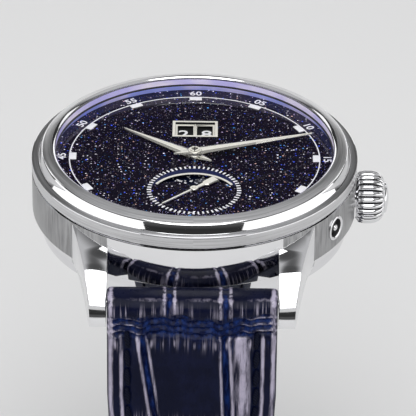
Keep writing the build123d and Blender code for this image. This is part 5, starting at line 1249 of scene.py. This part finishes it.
class MakeDateFrame(bpy.types.Operator):
    """Model the stepped frame of the big date with its two windows"""

    bl_idname = "watch.date_frame"
    bl_label = "Date frame"

    def execute(self, context):
        floor = dial_top - 0.42 * MM
        ledge = dial_top - 0.24 * MM
        top = dial_top + 0.13 * MM
        wide, tall, bar = 5.64 * MM, 4.0 * MM, 0.36 * MM
        margin, overlap = 0.38 * MM, 0.01 * MM
        side_rim, end_rim, parting = 0.28 * MM, 0.32 * MM, 0.46 * MM
        inside_wide, inside_tall = wide - 2 * bar, tall - 2 * bar

        def slab(across, along, low, high, x=0.0):
            place = Matrix.Translation((x, date_place.y, (low + high) / 2))
            return boxed(across, along, high - low, place)

        rim = slab(wide, tall, dial_top, top)
        cut(rim, slab(wide - margin, tall - margin, floor, dial_top + overlap), "UNION")
        cut(rim, slab(inside_wide, inside_tall, ledge, top + OVERRUN))
        window = (inside_wide - parting) / 2 - side_rim
        for side in (-1, 1):
            x = side * (window + parting) / 2
            cut(rim, slab(window, inside_tall - 2 * end_rim, floor - OVERRUN, top, x))
        post = slab(0.16 * MM, inside_tall - 0.1 * MM, ledge - 0.02 * MM, ledge + 0.12 * MM)
        cut(rim, post, "UNION")
        smooth(soften(rim, 0.03 * MM, segments=2), angle=30)
        dress(rim, "bright_date_frame", "watch", "ivory black", ["date_frame"])
        # Painted shade: the frame's upright walls get black lacquer, its flat faces frosted steel.
        lay_finishes(rim, lambda middle, normal: int(abs(normal.z) < 0.4))
        return {"FINISHED"}


def stitch_blank():
    """One stitch of thread along +Y, thin at both ends."""
    half_wide, half_long, half_thick = 0.33 * MM, 1.2 * MM, 0.32 * MM
    stitch = ball(12, 12)
    stitch.data.transform(Matrix.Rotation(math.radians(90), 4, "X"))
    for vertex in stitch.data.vertices:
        swell = 1 + 0.16 * math.cos(7.5 * vertex.co.y)
        vertex.co.x *= swell
        vertex.co.z *= swell
        vertex.co.y = math.copysign(abs(vertex.co.y) ** 0.8, vertex.co.y)
    stitch.data.transform(Matrix.Diagonal((half_wide, half_long, half_thick, 1)))
    return stitch


def sewn(places):
    """Stitches of one seam at places, each given as a matrix, as one piece."""
    pattern = stitch_blank()
    seam = []
    for place in places:
        stitch = copied(pattern)
        stitch.data.transform(place)
        seam.append(stitch)
    bpy.data.objects.remove(pattern)
    return smooth(join(seam), angle=60)


class MakeBuckle(bpy.types.Operator):
    """Round and polish the buckle, and round and stitch the leather keepers"""

    bl_idname = "watch.buckle"
    bl_label = "Buckle and keepers"

    def keeper(self, node, body, on_top):
        """A keeper with two seams, on its top, or else on its outer face."""
        pitch, inset, sink = 2.9 * MM, 0.9 * MM, 0.2 * MM
        piece = refined(node, 0.3 * MM, segments=3)
        dress(piece, "leather_" + node, body, "leather", [node])
        low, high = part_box(node)
        middle, half = (low + high) / 2, (high - low) / 2
        quarter = math.radians(90)
        places = []
        for side in (-1, 1):
            for number in range(-3, 4):
                if on_top:
                    spot = (number * pitch, middle.y + side * (half.y - inset), high.z - sink)
                    tilt = Matrix()
                else:
                    spot = (number * pitch, high.y - sink, middle.z + side * (half.z - inset))
                    tilt = Matrix.Rotation(quarter, 4, "X")
                places.append(Matrix.Translation(spot) @ tilt @ Matrix.Rotation(quarter, 4, "Z"))
        dress(sewn(places), "stitches_" + node, body, "thread")

    def execute(self, context):
        for node, body in (("buckle_frame", "watch"), ("buckle_tongue", "tongue_set")):
            piece = refined(node, 0.16 * MM, segments=3)
            dress(piece, "polished_" + node, body, "polished", [node])
        self.keeper("fixed_keeper", "watch", on_top=True)
        self.keeper("floating_keeper", "keeper_set", on_top=False)
        return {"FINISHED"}


class StrapPath:
    """The middle line of one strap half from its head at the case, sampled with its thickness."""

    HEAD_RADIUS = 2.25 * MM
    HEAD_HEIGHT = 58.85 * MM
    HEAD_RISE = 1.75 * MM
    TAPER_TOP = 50.85 * MM
    TAPER_BOTTOM = 37.85 * MM
    THICK = 2.2 * MM
    WIDE_HALF = strap_half_width + 0.12 * MM
    NARROW_HALF = 9 * MM
    NARROW_FROM = 47 * MM
    NARROW_TO = 24 * MM
    STEP = 0.42 * MM
    FINE_STEP = 0.2 * MM
    FINE_TO = 47.0 * MM
    HEAD_STEPS = 18
    END_STEPS = 8

    def __init__(self, side):
        self.side = side
        self.rows = []

    def add(self, y, z, normal, half_thick, half_width):
        self.rows.append((y, z, normal[0], normal[1], half_thick, half_width))

    def head(self):
        """Round the spring bar, down the padded end and along the taper."""
        middle = strap_face - self.HEAD_RADIUS
        for number in range(self.HEAD_STEPS + 1):
            angle = math.radians(90) * (1 - number / self.HEAD_STEPS)
            z = self.HEAD_HEIGHT + self.HEAD_RISE * math.sin(angle)
            self.add(middle, z, (1, 0), self.HEAD_RADIUS * math.cos(angle), self.WIDE_HALF)
        z = self.HEAD_HEIGHT
        while z > self.TAPER_BOTTOM:
            z -= self.FINE_STEP if z > self.FINE_TO else self.STEP
            share = self.share_down(z, self.TAPER_TOP, self.TAPER_BOTTOM)
            half = self.HEAD_RADIUS + (self.THICK / 2 - self.HEAD_RADIUS) * share
            self.add(strap_face - half, z, (1, 0), half, self.half_width(z))

    def share_down(self, z, top, bottom):
        """How far a height is on the way down from top to bottom, from 0 to 1."""
        return min(max((top - z) / (top - bottom), 0), 1)

    def half_width(self, z):
        """Half the width at a height on the way down from the case."""
        share = self.share_down(z, self.NARROW_FROM, self.NARROW_TO)
        return self.WIDE_HALF + (self.NARROW_HALF - self.WIDE_HALF) * share

    def straight(self, start, end, normal, going_down=False):
        """On to a point, and narrower on the way if it goes down from the case."""
        count = max(2, round((Vector(end) - Vector(start)).length / self.STEP))
        for number in range(1, count + 1):
            point = Vector(start).lerp(Vector(end), number / count)
            half = self.half_width(point.y) if going_down else self.NARROW_HALF
            self.add(point.x, point.y, normal, self.THICK / 2, half)

    def bend(self, centre, radius, start, end):
        """Round a centre, from one angle to another."""
        count = round(abs(end - start) * radius / self.STEP)
        for number in range(1, count + 1):
            angle = start + (end - start) * number / count
            normal = (math.cos(angle), math.sin(angle))
            y = centre[0] + radius * normal[0]
            z = centre[1] + radius * normal[1]
            self.add(y, z, normal, self.THICK / 2, self.NARROW_HALF)

    def close(self, point, normal, reach, direction, half_width):
        """Round off the last end over reach."""
        for number in range(1, self.END_STEPS + 1):
            angle = math.radians(90) * number / self.END_STEPS
            at = Vector(point) + Vector(direction) * reach * math.sin(angle)
            self.add(at.x, at.y, normal, self.THICK / 2 * math.cos(angle), half_width)

    def table(self):
        """Rows of place, normal, half thickness and half width, and how far along the outside each is."""
        rows = np.array(self.rows)
        rows[:, 0] *= self.side
        rows[:, 2] *= self.side
        outer = rows[:, :2] + rows[:, 2:4] * rows[:, 4:5]
        along = np.concatenate([[0], np.cumsum(np.hypot(*np.diff(outer, axis=0).T))])
        return rows, along


def ease(value, low, high):
    """A smooth step from 0 at low to 1 at high."""
    share = np.clip((value - low) / (high - low), 0, 1)
    return share * share * (3 - 2 * share)


def hump(offset, width, power=2):
    """A soft hump of height 1 where the offset is 0."""
    return np.exp(-((offset / width) ** power))


class ScaledLeather:
    """Relief, blue furrows and painted highlights of scaled leather at points across and along a strap half,
    in millimetres.
    """

    FIRST_BAND = (3.7, 2.7)
    LAST_BAND = 110
    FIRST_ROWS = (((-2.7, 0.0), (3.95, 0.0)), ((-6.0, -0.14), (3.85, -0.045)))
    RIPPLE_PITCH = 0.92
    FINE_PITCH = 0.62
    COARSE_PITCH = 1.32
    FADE = (17, 30)

    def __init__(self, x, along, seed):
        self.x = x
        self.along = along
        self.seed = seed
        self.draw = np.random.default_rng(seed)
        self.height = np.zeros_like(x)
        self.furrow = np.zeros_like(x)
        self.gloss_and_painted_highlight = np.full_like(x, 0.02)
        self.pleat = np.zeros_like(x)
        previous = -3.0
        for number, (start, wide) in enumerate(self.bands()):
            top = self.ripple(number, start, wide)
            self.part_scales(number, previous, top)
            previous = start + wide
        # Painted highlight: a band across the strap near the top of its head.
        self.gloss_and_painted_highlight += 0.46 * hump(along - 1.3, 0.4) * (0.8 + 0.2 * np.sin(0.9 * x))
        fade = ease(along, *self.FADE)
        self.gloss_and_painted_highlight *= 1 - 0.75 * fade
        self.furrow *= 1 - 0.35 * fade
        self.pleat *= 1 - 0.6 * fade

    def bands(self):
        """Start and width of each band of ripples between two rows of scales."""
        bands = [self.FIRST_BAND]
        while bands[-1][0] < self.LAST_BAND:
            start = sum(bands[-1]) + self.draw.uniform(11.2, 13.5)
            bands.append((start, self.draw.uniform(2.4, 3.2)))
        return bands

    def walls(self, number):
        """Place and lean of the two furrows between the scales of a row."""
        if number < len(self.FIRST_ROWS):
            return self.FIRST_ROWS[number]
        left = self.draw.uniform(-5.6, -3.4)
        lean = self.draw.uniform(-0.08, 0.08)
        return ((left, lean), (left + self.draw.uniform(7.5, 9.5), 0.04))

    def darken(self, furrow):
        self.furrow = np.maximum(self.furrow, furrow)

    def ripple(self, number, start, wide):
        """A band of ripples, with fine pleats above it and coarse ones below."""
        x = self.x
        wave = 0.30 * np.sin(0.55 * x + number) + 0.14 * np.sin(1.9 * x + 2.0 * number + self.seed)
        top = self.along - start - wave
        bottom = self.along - start - wide - wave * 0.7
        inside = ease(top, -0.35, 0.3) * (1 - ease(bottom, -0.35, 0.35))
        phase = (self.along - start - wave * 0.85) / self.RIPPLE_PITCH
        phase = phase + 0.16 * np.sin(1.3 * x + number) + 0.10 * np.sin(3.4 * x + 2 * number)
        ripple = np.sin(FULL_TURN * phase)
        self.height += inside * (-0.42 + 0.20 * ripple)
        self.darken(inside * (0.62 - 0.38 * ripple))
        # Painted highlight on the crests of the ripples, stronger towards the edges.
        self.gloss_and_painted_highlight += inside * (0.15 + 0.55 * ease(np.abs(x), 4.0, 8.0)) * np.clip(ripple, 0, 1)

        above, below = hump(top + 0.75, 0.75), hump(bottom - 0.9, 0.8)
        fine = np.sin(FULL_TURN * x / self.FINE_PITCH + 1.3 * np.sin(0.9 * x + number))
        coarse = np.sin(FULL_TURN * x / self.COARSE_PITCH + 1.1 * np.sin(0.5 * x + 2 * number))
        self.height += above * 0.07 * fine + below * 0.13 * coarse
        # Painted highlight on the crests of the coarse pleats.
        self.gloss_and_painted_highlight += below * 0.75 * np.clip(coarse, 0, 1) ** 3
        edge = ease(np.abs(x), 3.0, 8.0)
        self.pleat = np.maximum(self.pleat, above * (0.55 + 0.45 * edge) + below * 0.5)
        self.darken(0.3 * below * np.clip(-coarse, 0, 1))
        return top

    def part_scales(self, number, previous, top):
        """Furrows with raised lips between the scales of a row, and a raised patch beside the last, with
        painted highlights on the lips and the patch.
        """
        within = ease(self.along, previous - 0.5, previous + 0.3) * (1 - ease(top, -0.5, 0.2))
        for at, lean in self.walls(number):
            line = at - lean * (self.along - previous)
            depth = hump(self.x - line, 0.28) * within
            lip = hump(np.abs(self.x - line) - 0.6, math.sqrt(0.05)) * within
            self.height += -0.42 * depth + 0.13 * lip
            self.darken(depth)
            self.gloss_and_painted_highlight += 0.75 * lip
        if number:
            patch = hump(self.x - line - 2.0, 1.05, 4) * within
            self.height += 0.10 * patch
            self.gloss_and_painted_highlight += 0.75 * patch


def oblong(point, across, side, half, width):
    """Where numbered points round a rounded oblong lie, across and in depth, and which face has them."""
    ring = 2 * (across + side)
    outer = point <= across
    inner = (point >= across + side) & (point <= 2 * across + side)
    right = (point > across) & (point < across + side)
    left = point > 2 * across + side
    round_off = np.minimum(0.55 * MM, half)
    rim = half - round_off
    share = np.where(outer, point / across, 1 - (point - across - side) / across)
    x = (2 * share - 1) * width
    over = np.maximum(np.abs(x) - (width - round_off), 0)
    level = rim + np.sqrt(np.maximum(round_off**2 - over**2, 0))
    step = np.where(right, (point - across) / side, (ring - point) / side)
    depth = np.where(outer, level, np.where(inner, -level, rim * (1 - 2 * step)))
    x = np.where(right, width, np.where(left, -width, x))
    return x, depth, outer, inner


def strap_mesh(path, seed, seam_inset):
    """A strap half as one closed skin: a rounded oblong swept along its path, with its relief."""
    rim_inset, beside_inset, turned_in = 0.45 * MM, 1.7 * MM, 3.4 * MM
    padding, seam_deep = 0.35 * MM, 0.30 * MM
    rows, along = path.table()
    across, side = 100, 4
    ring = 2 * (across + side)
    last_row = len(rows) - 1
    marks = {}

    def place(u, v):
        row = np.rint(v * last_row).astype(int)
        point = np.rint(u * ring).astype(int) % ring
        y, z, ny, nz, half, width = rows[row].T
        x, depth, outer, inner = oblong(point, across, side, half, width)
        at = along[row]
        leather = ScaledLeather(x / MM, at / MM, seed)
        relief = leather.height * MM
        furrow, gloss_and_painted_highlight, pleat = (
            np.clip(values, 0, 1) for values in (leather.furrow, leather.gloss_and_painted_highlight, leather.pleat)
        )

        inset = width - np.abs(x)
        calm = ease(inset, 0.1 * MM, 0.7 * MM) * ease(along[-1] - at, 0.5 * MM, 3 * MM)
        calm = calm * ease(half, 0.1 * MM, 0.9 * MM)
        seam = hump(inset - seam_inset, 0.5 * MM) * ease(at, 5.2 * MM, 6.4 * MM)
        pad = ease(inset, 0.6 * MM, 4.5 * MM) * padding * (1 - 0.6 * ease(at, 12 * MM, 35 * MM))
        rise = (relief * (1 - 0.6 * seam) + pad - seam_deep * seam) * calm
        skin = outer | (inner & (at < turned_in))
        depth = depth + np.where(outer, rise, np.where(skin, -relief * calm, 0))

        # Painted highlights along the rim and in a line beside each seam, fading down the strap.
        rim_light = hump(inset - rim_inset, 0.3 * MM)
        beside = hump(inset - beside_inset, 0.25 * MM) * ease(at, 6 * MM, 7 * MM)
        fade = 1 - 0.6 * ease(at, 17 * MM, 30 * MM)
        gloss_and_painted_highlight = gloss_and_painted_highlight * (1 - seam) + (rim_light + beside) * fade
        marks["furrow"] = np.where(skin, np.maximum(furrow * (1 - seam), seam * 0.12) * calm, 0)
        marks["gloss_and_painted_highlight"] = np.where(skin, np.clip(gloss_and_painted_highlight, 0, 1), 0)
        marks["pleat"] = np.where(skin, pleat * (1 - seam) * calm, 0)
        marks["skin"] = skin.astype(float)
        return np.stack([x, y + ny * depth, z + nz * depth], 1)

    piece = sculpted_grid(ring, last_row, place)
    for name, values in marks.items():
        mark = piece.data.attributes.new(name, "FLOAT", "POINT")
        mark.data.foreach_set("value", values.astype(np.float32))
    return settle(piece), rows, along


def seam_places(rows, along, size, start, end):
    """Where the stitches go along both edges, on the outer and on the lining side."""
    lift, lean = 0.05 * MM, math.radians(5)
    sideways = Vector((1, 0, 0))
    places = []
    for sign in (1, -1):
        face = rows[:, :2] + sign * rows[:, 2:4] * rows[:, 4:5]
        for side in (1, -1):
            at = start
            while at < end:
                y, z = (np.interp(at, along, face[:, column]) for column in (0, 1))
                ny, nz, width = (np.interp(at, along, rows[:, column]) for column in (2, 3, 5))
                normal = Vector((0, ny, nz)).normalized() * sign
                basis = Matrix((sideways, sideways.cross(normal), normal)).transposed().to_4x4()
                spot = Vector((side * (width - size.stitch_inset), y, z)) + normal * lift
                tilt = Matrix.Rotation(lean * side, 4, "Z")
                places.append(Matrix.Translation(spot) @ basis @ tilt)
                at += size.stitch_pitch
    return places


def rod(sides, radius, long):
    """A round bar upright on the origin, for cutting."""
    deselect()
    bpy.ops.mesh.primitive_cylinder_add(vertices=sides, radius=radius, depth=long)
    return bpy.context.object


def tongue_way(rows):
    """Cutters for the slot that the tongue crosses and for the holes, as one piece."""
    slot_middle, slot_long, slot_wide, slot_deep = -9.15 * MM, 6.1 * MM, 2.6 * MM, 12 * MM
    hole_radius, hole_deep, pitch = 0.9 * MM, 6 * MM, 6.5 * MM
    slot = rod(32, slot_wide / 2, slot_deep)
    for vertex in slot.data.vertices:
        vertex.co.y += math.copysign((slot_long - slot_wide) / 2, vertex.co.y)
    slot.data.transform(Matrix.Translation((0, slot_middle, slot_deep / 2)))
    cutters = [slot]
    length = np.concatenate([[0], np.cumsum(np.hypot(*np.diff(rows[:, :2], axis=0).T))])
    flat = rows[:, 1] < 3 * MM
    length -= np.interp(0, rows[flat, 0], length[flat])
    for number in (-2, -1, 1, 2, 3, 4):
        at = slot_middle + number * pitch
        y, z, ny, nz = (np.interp(at, length, rows[:, column]) for column in range(4))
        hole = rod(24, hole_radius, hole_deep)
        turn = Vector((0, ny, nz)).to_track_quat("Z", "X").to_matrix().to_4x4()
        hole.data.transform(Matrix.Translation((0, y, z)) @ turn)
        cutters.append(hole)
    return join(cutters)


def pin_notch():
    """Cutter for the notch round the tongue at the buckle's pin."""
    return boxed(2.6 * MM, 4.4 * MM, 3 * MM, Matrix.Translation((0, -6 * MM, 4.7 * MM)))


class MakeStrap(bpy.types.Operator):
    """Model both halves of the leather strap with their scales and stitches"""

    bl_idname = "watch.strap"
    bl_label = "Strap"

    REACH = 7.35 * MM
    BEND = 16.1 * MM
    TAIL_BEND = 18.45 * MM
    DOWN = math.radians(-90)

    def begin(self, side, level):
        """A half from its head down and round to the floor, where its middle runs at a level."""
        path = StrapPath(side)
        face_middle = strap_face - path.THICK / 2
        path.head()
        path.straight((face_middle, path.TAPER_BOTTOM), (face_middle, level + self.BEND), (1, 0), True)
        path.bend((self.REACH, level + self.BEND), self.BEND, 0, self.DOWN)
        return path

    def short_half(self):
        level, end = 4.7 * MM, -6 * MM
        path = self.begin(1, level)
        path.straight((self.REACH, level), (end, level), (0, -1))
        path.close((end, level), (0, -1), path.THICK / 2, (-1, 0), path.NARROW_HALF)
        return path

    def long_half(self):
        """The half at 6 o'clock, which goes on along the floor and up the far side to its tip."""
        level, point_from, point_long, point_half = 2.35 * MM, 29.8 * MM, 4.2 * MM, 3 * MM
        tail, steps = -self.REACH - self.TAIL_BEND, 10
        path = self.begin(-1, level)
        path.straight((self.REACH, level), (-self.REACH, level), (0, -1))
        centre = (-self.REACH, level + self.TAIL_BEND)
        path.bend(centre, self.TAIL_BEND, self.DOWN, 2 * self.DOWN)
        path.straight((tail, centre[1]), (tail, point_from), (-1, 0))
        for number in range(1, steps + 1):
            share = number / steps
            half_width = path.NARROW_HALF + (point_half - path.NARROW_HALF) * share
            path.add(tail, point_from + point_long * share, (-1, 0), path.THICK / 2, half_width)
        path.close((tail, point_from + point_long), (-1, 0), 0.8 * MM, (0, 1), point_half)
        return path

    def execute(self, context):
        size = context.scene.watch_sizes
        first_stitch, last_stitch = 6.9 * MM, 6.5 * MM
        for name, path, seed in (("strap_12", self.short_half(), 3), ("strap_6", self.long_half(), 7)):
            piece, rows, along = strap_mesh(path, seed, size.stitch_inset)
            cut(piece, tongue_way(rows) if name == "strap_6" else pin_notch())
            smooth(piece, angle=60)
            dress(piece, "leather_" + name, "watch", "leather lining", [name])
            skin = piece.data.attributes["skin"].data
            for polygon in piece.data.polygons:
                share = sum(skin[vertex].value for vertex in polygon.vertices) / len(polygon.vertices)
                polygon.material_index = 0 if share > 0.5 else 1
            seam = sewn(seam_places(rows, along, size, first_stitch, along[-1] - last_stitch))
            dress(seam, "stitches_" + name, "watch", "thread")
        return {"FINISHED"}


class MakeStage(bpy.types.Operator):
    """Add the floor, the lamps and the camera"""

    bl_idname = "watch.stage"
    bl_label = "Stage"

    def floor(self):
        floor_size = 3
        deselect()
        bpy.ops.mesh.primitive_plane_add(size=floor_size, location=(0, 0, 0))
        floor = bpy.context.object
        floor.name = "floor"
        floor.data.materials.append(materials["floor"])

    def sky(self, scene):
        """Light from all round, bright only in a band high up."""
        world = bpy.data.worlds.new("studio")
        scene.world = world
        world.use_nodes = True
        tree = world.node_tree
        where = tree.nodes.new("ShaderNodeTexCoord")
        apart = tree.nodes.new("ShaderNodeSeparateXYZ")
        ramp = tree.nodes.new("ShaderNodeValToRGB")
        ramp.color_ramp.interpolation = "EASE"
        stops = ramp.color_ramp.elements
        cool_white = (0.98, 0.985, 1.0)
        # Height on the sky, from straight down to straight up, and its brightness there
        levels = (
            (0.0, 0.10),
            (0.16, 0.10),
            (0.27, 0.035),
            (0.62, 0.05),
            (0.78, 0.62),
            (0.94, 0.62),
            (0.99, 0.10),
            (1.0, 0.08),
        )
        while len(stops) < len(levels):
            stops.new(0.5)
        for stop, (height, level) in zip(stops, levels):
            stop.position = height
            stop.color = (*dimmed(cool_white, level), 1)
        tree.links.new(where.outputs["Generated"], apart.inputs[0])
        tree.links.new(apart.outputs["Z"], ramp.inputs["Fac"])
        tree.links.new(ramp.outputs["Color"], tree.nodes["Background"].inputs["Color"])

    def lamps(self, centre):
        """Oblong lamps that face the watch and stay out of the picture."""
        # Each lamp's name, place, width, depth and power
        lamps = (
            ("key", (0.0, -0.37, 0.69), 0.60, 0.74, 4.8),
            ("front_low", (0.0, -0.70, 0.50), 1.00, 0.16, 0.36),
            ("back_low", (0.0, 0.80, 0.14), 1.40, 0.24, 1.5),
            ("left_back", (-0.62, 0.55, 0.45), 0.30, 0.40, 0.5),
            ("right_back", (0.62, 0.55, 0.45), 0.30, 0.40, 0.5),
            ("left_side", (-0.69, -0.18, 0.20), 1.20, 0.38, 2.2),
            ("right_side", (0.69, -0.18, 0.20), 1.20, 0.38, 2.2),
        )
        for name, place, wide, tall, power in lamps:
            deselect()
            bpy.ops.object.light_add(type="AREA", location=place)
            lamp = bpy.context.object
            lamp.name = name
            lamp.visible_camera = False
            lamp.data.shape = "RECTANGLE"
            lamp.data.size = wide
            lamp.data.size_y = tall
            lamp.data.energy = power
            lamp.rotation_euler = (centre - Vector(place)).to_track_quat("-Z", "Y").to_euler()

    def camera(self, scene, centre):
        """The photograph's viewpoint, in line with the dial's middle at its place in the picture."""
        elevation, azimuth, roll = (math.radians(angle) for angle in (29.81, 0.254, 0.544))
        distance, focal_pixels = 0.450, 3661.6
        dial_pixel, frame_pixels, sensor = (194.65, 157.68), 416, 36.0
        back = Vector(
            (
                math.sin(azimuth) * math.cos(elevation),
                -math.cos(azimuth) * math.cos(elevation),
                math.sin(elevation),
            )
        )
        right = Vector((math.cos(azimuth), math.sin(azimuth), 0))
        up = back.cross(right)
        right, up = (
            right * math.cos(roll) + up * math.sin(roll),
            up * math.cos(roll) - right * math.sin(roll),
        )
        aim_x = math.atan2(dial_pixel[0] - frame_pixels / 2, focal_pixels)
        aim_y = math.atan2(frame_pixels / 2 - dial_pixel[1], focal_pixels)
        bpy.ops.object.camera_add(location=centre + back * distance)
        camera = bpy.context.object
        base = Matrix((right, up, back)).transposed()
        swing = Matrix.Rotation(aim_x, 3, "Y") @ Matrix.Rotation(-aim_y, 3, "X")
        camera.rotation_euler = (base @ swing).to_euler()
        camera.data.sensor_width = sensor
        camera.data.lens = focal_pixels / frame_pixels * sensor
        camera.data.clip_start = 0.01
        camera.data.clip_end = 10
        scene.camera = camera

    def execute(self, context):
        centre = Vector((0, 0, dial_top))
        self.floor()
        self.sky(context.scene)
        self.lamps(centre)
        self.camera(context.scene, centre)
        context.scene.view_settings.view_transform = "Standard"
        return {"FINISHED"}


class WatchPanel(bpy.types.Panel):
    """Lists the steps that build the watch's looks"""

    bl_idname = "VIEW3D_PT_watch"
    bl_label = "Watch"
    bl_space_type = "VIEW_3D"
    bl_region_type = "UI"
    bl_category = "Watch"

    def draw(self, context):
        for step in STEPS:
            self.layout.operator(step.bl_idname)


STEPS = (
    MixMaterials,
    MakeDialPrint,
    MakeHands,
    MakeMoonArc,
    MakeDiscs,
    MakeDateFrame,
    MakeCrystal,
    MakeCase,
    MakeCrown,
    MakeBuckle,
    MakeStrap,
    MakeStage,
)
CLASSES = (WatchSizes, WatchColours, *STEPS, WatchPanel)


def register():
    for item in CLASSES:
        bpy.utils.register_class(item)
    bpy.types.Scene.watch_sizes = bpy.props.PointerProperty(type=WatchSizes)
    bpy.types.Scene.watch_colours = bpy.props.PointerProperty(type=WatchColours)


def unregister():
    del bpy.types.Scene.watch_sizes
    del bpy.types.Scene.watch_colours
    for item in reversed(CLASSES):
        bpy.utils.unregister_class(item)


def main():
    register()
    for step in STEPS:
        group, name = step.bl_idname.split(".")
        getattr(getattr(bpy.ops, group), name)()


if __name__ == "__main__":
    main()
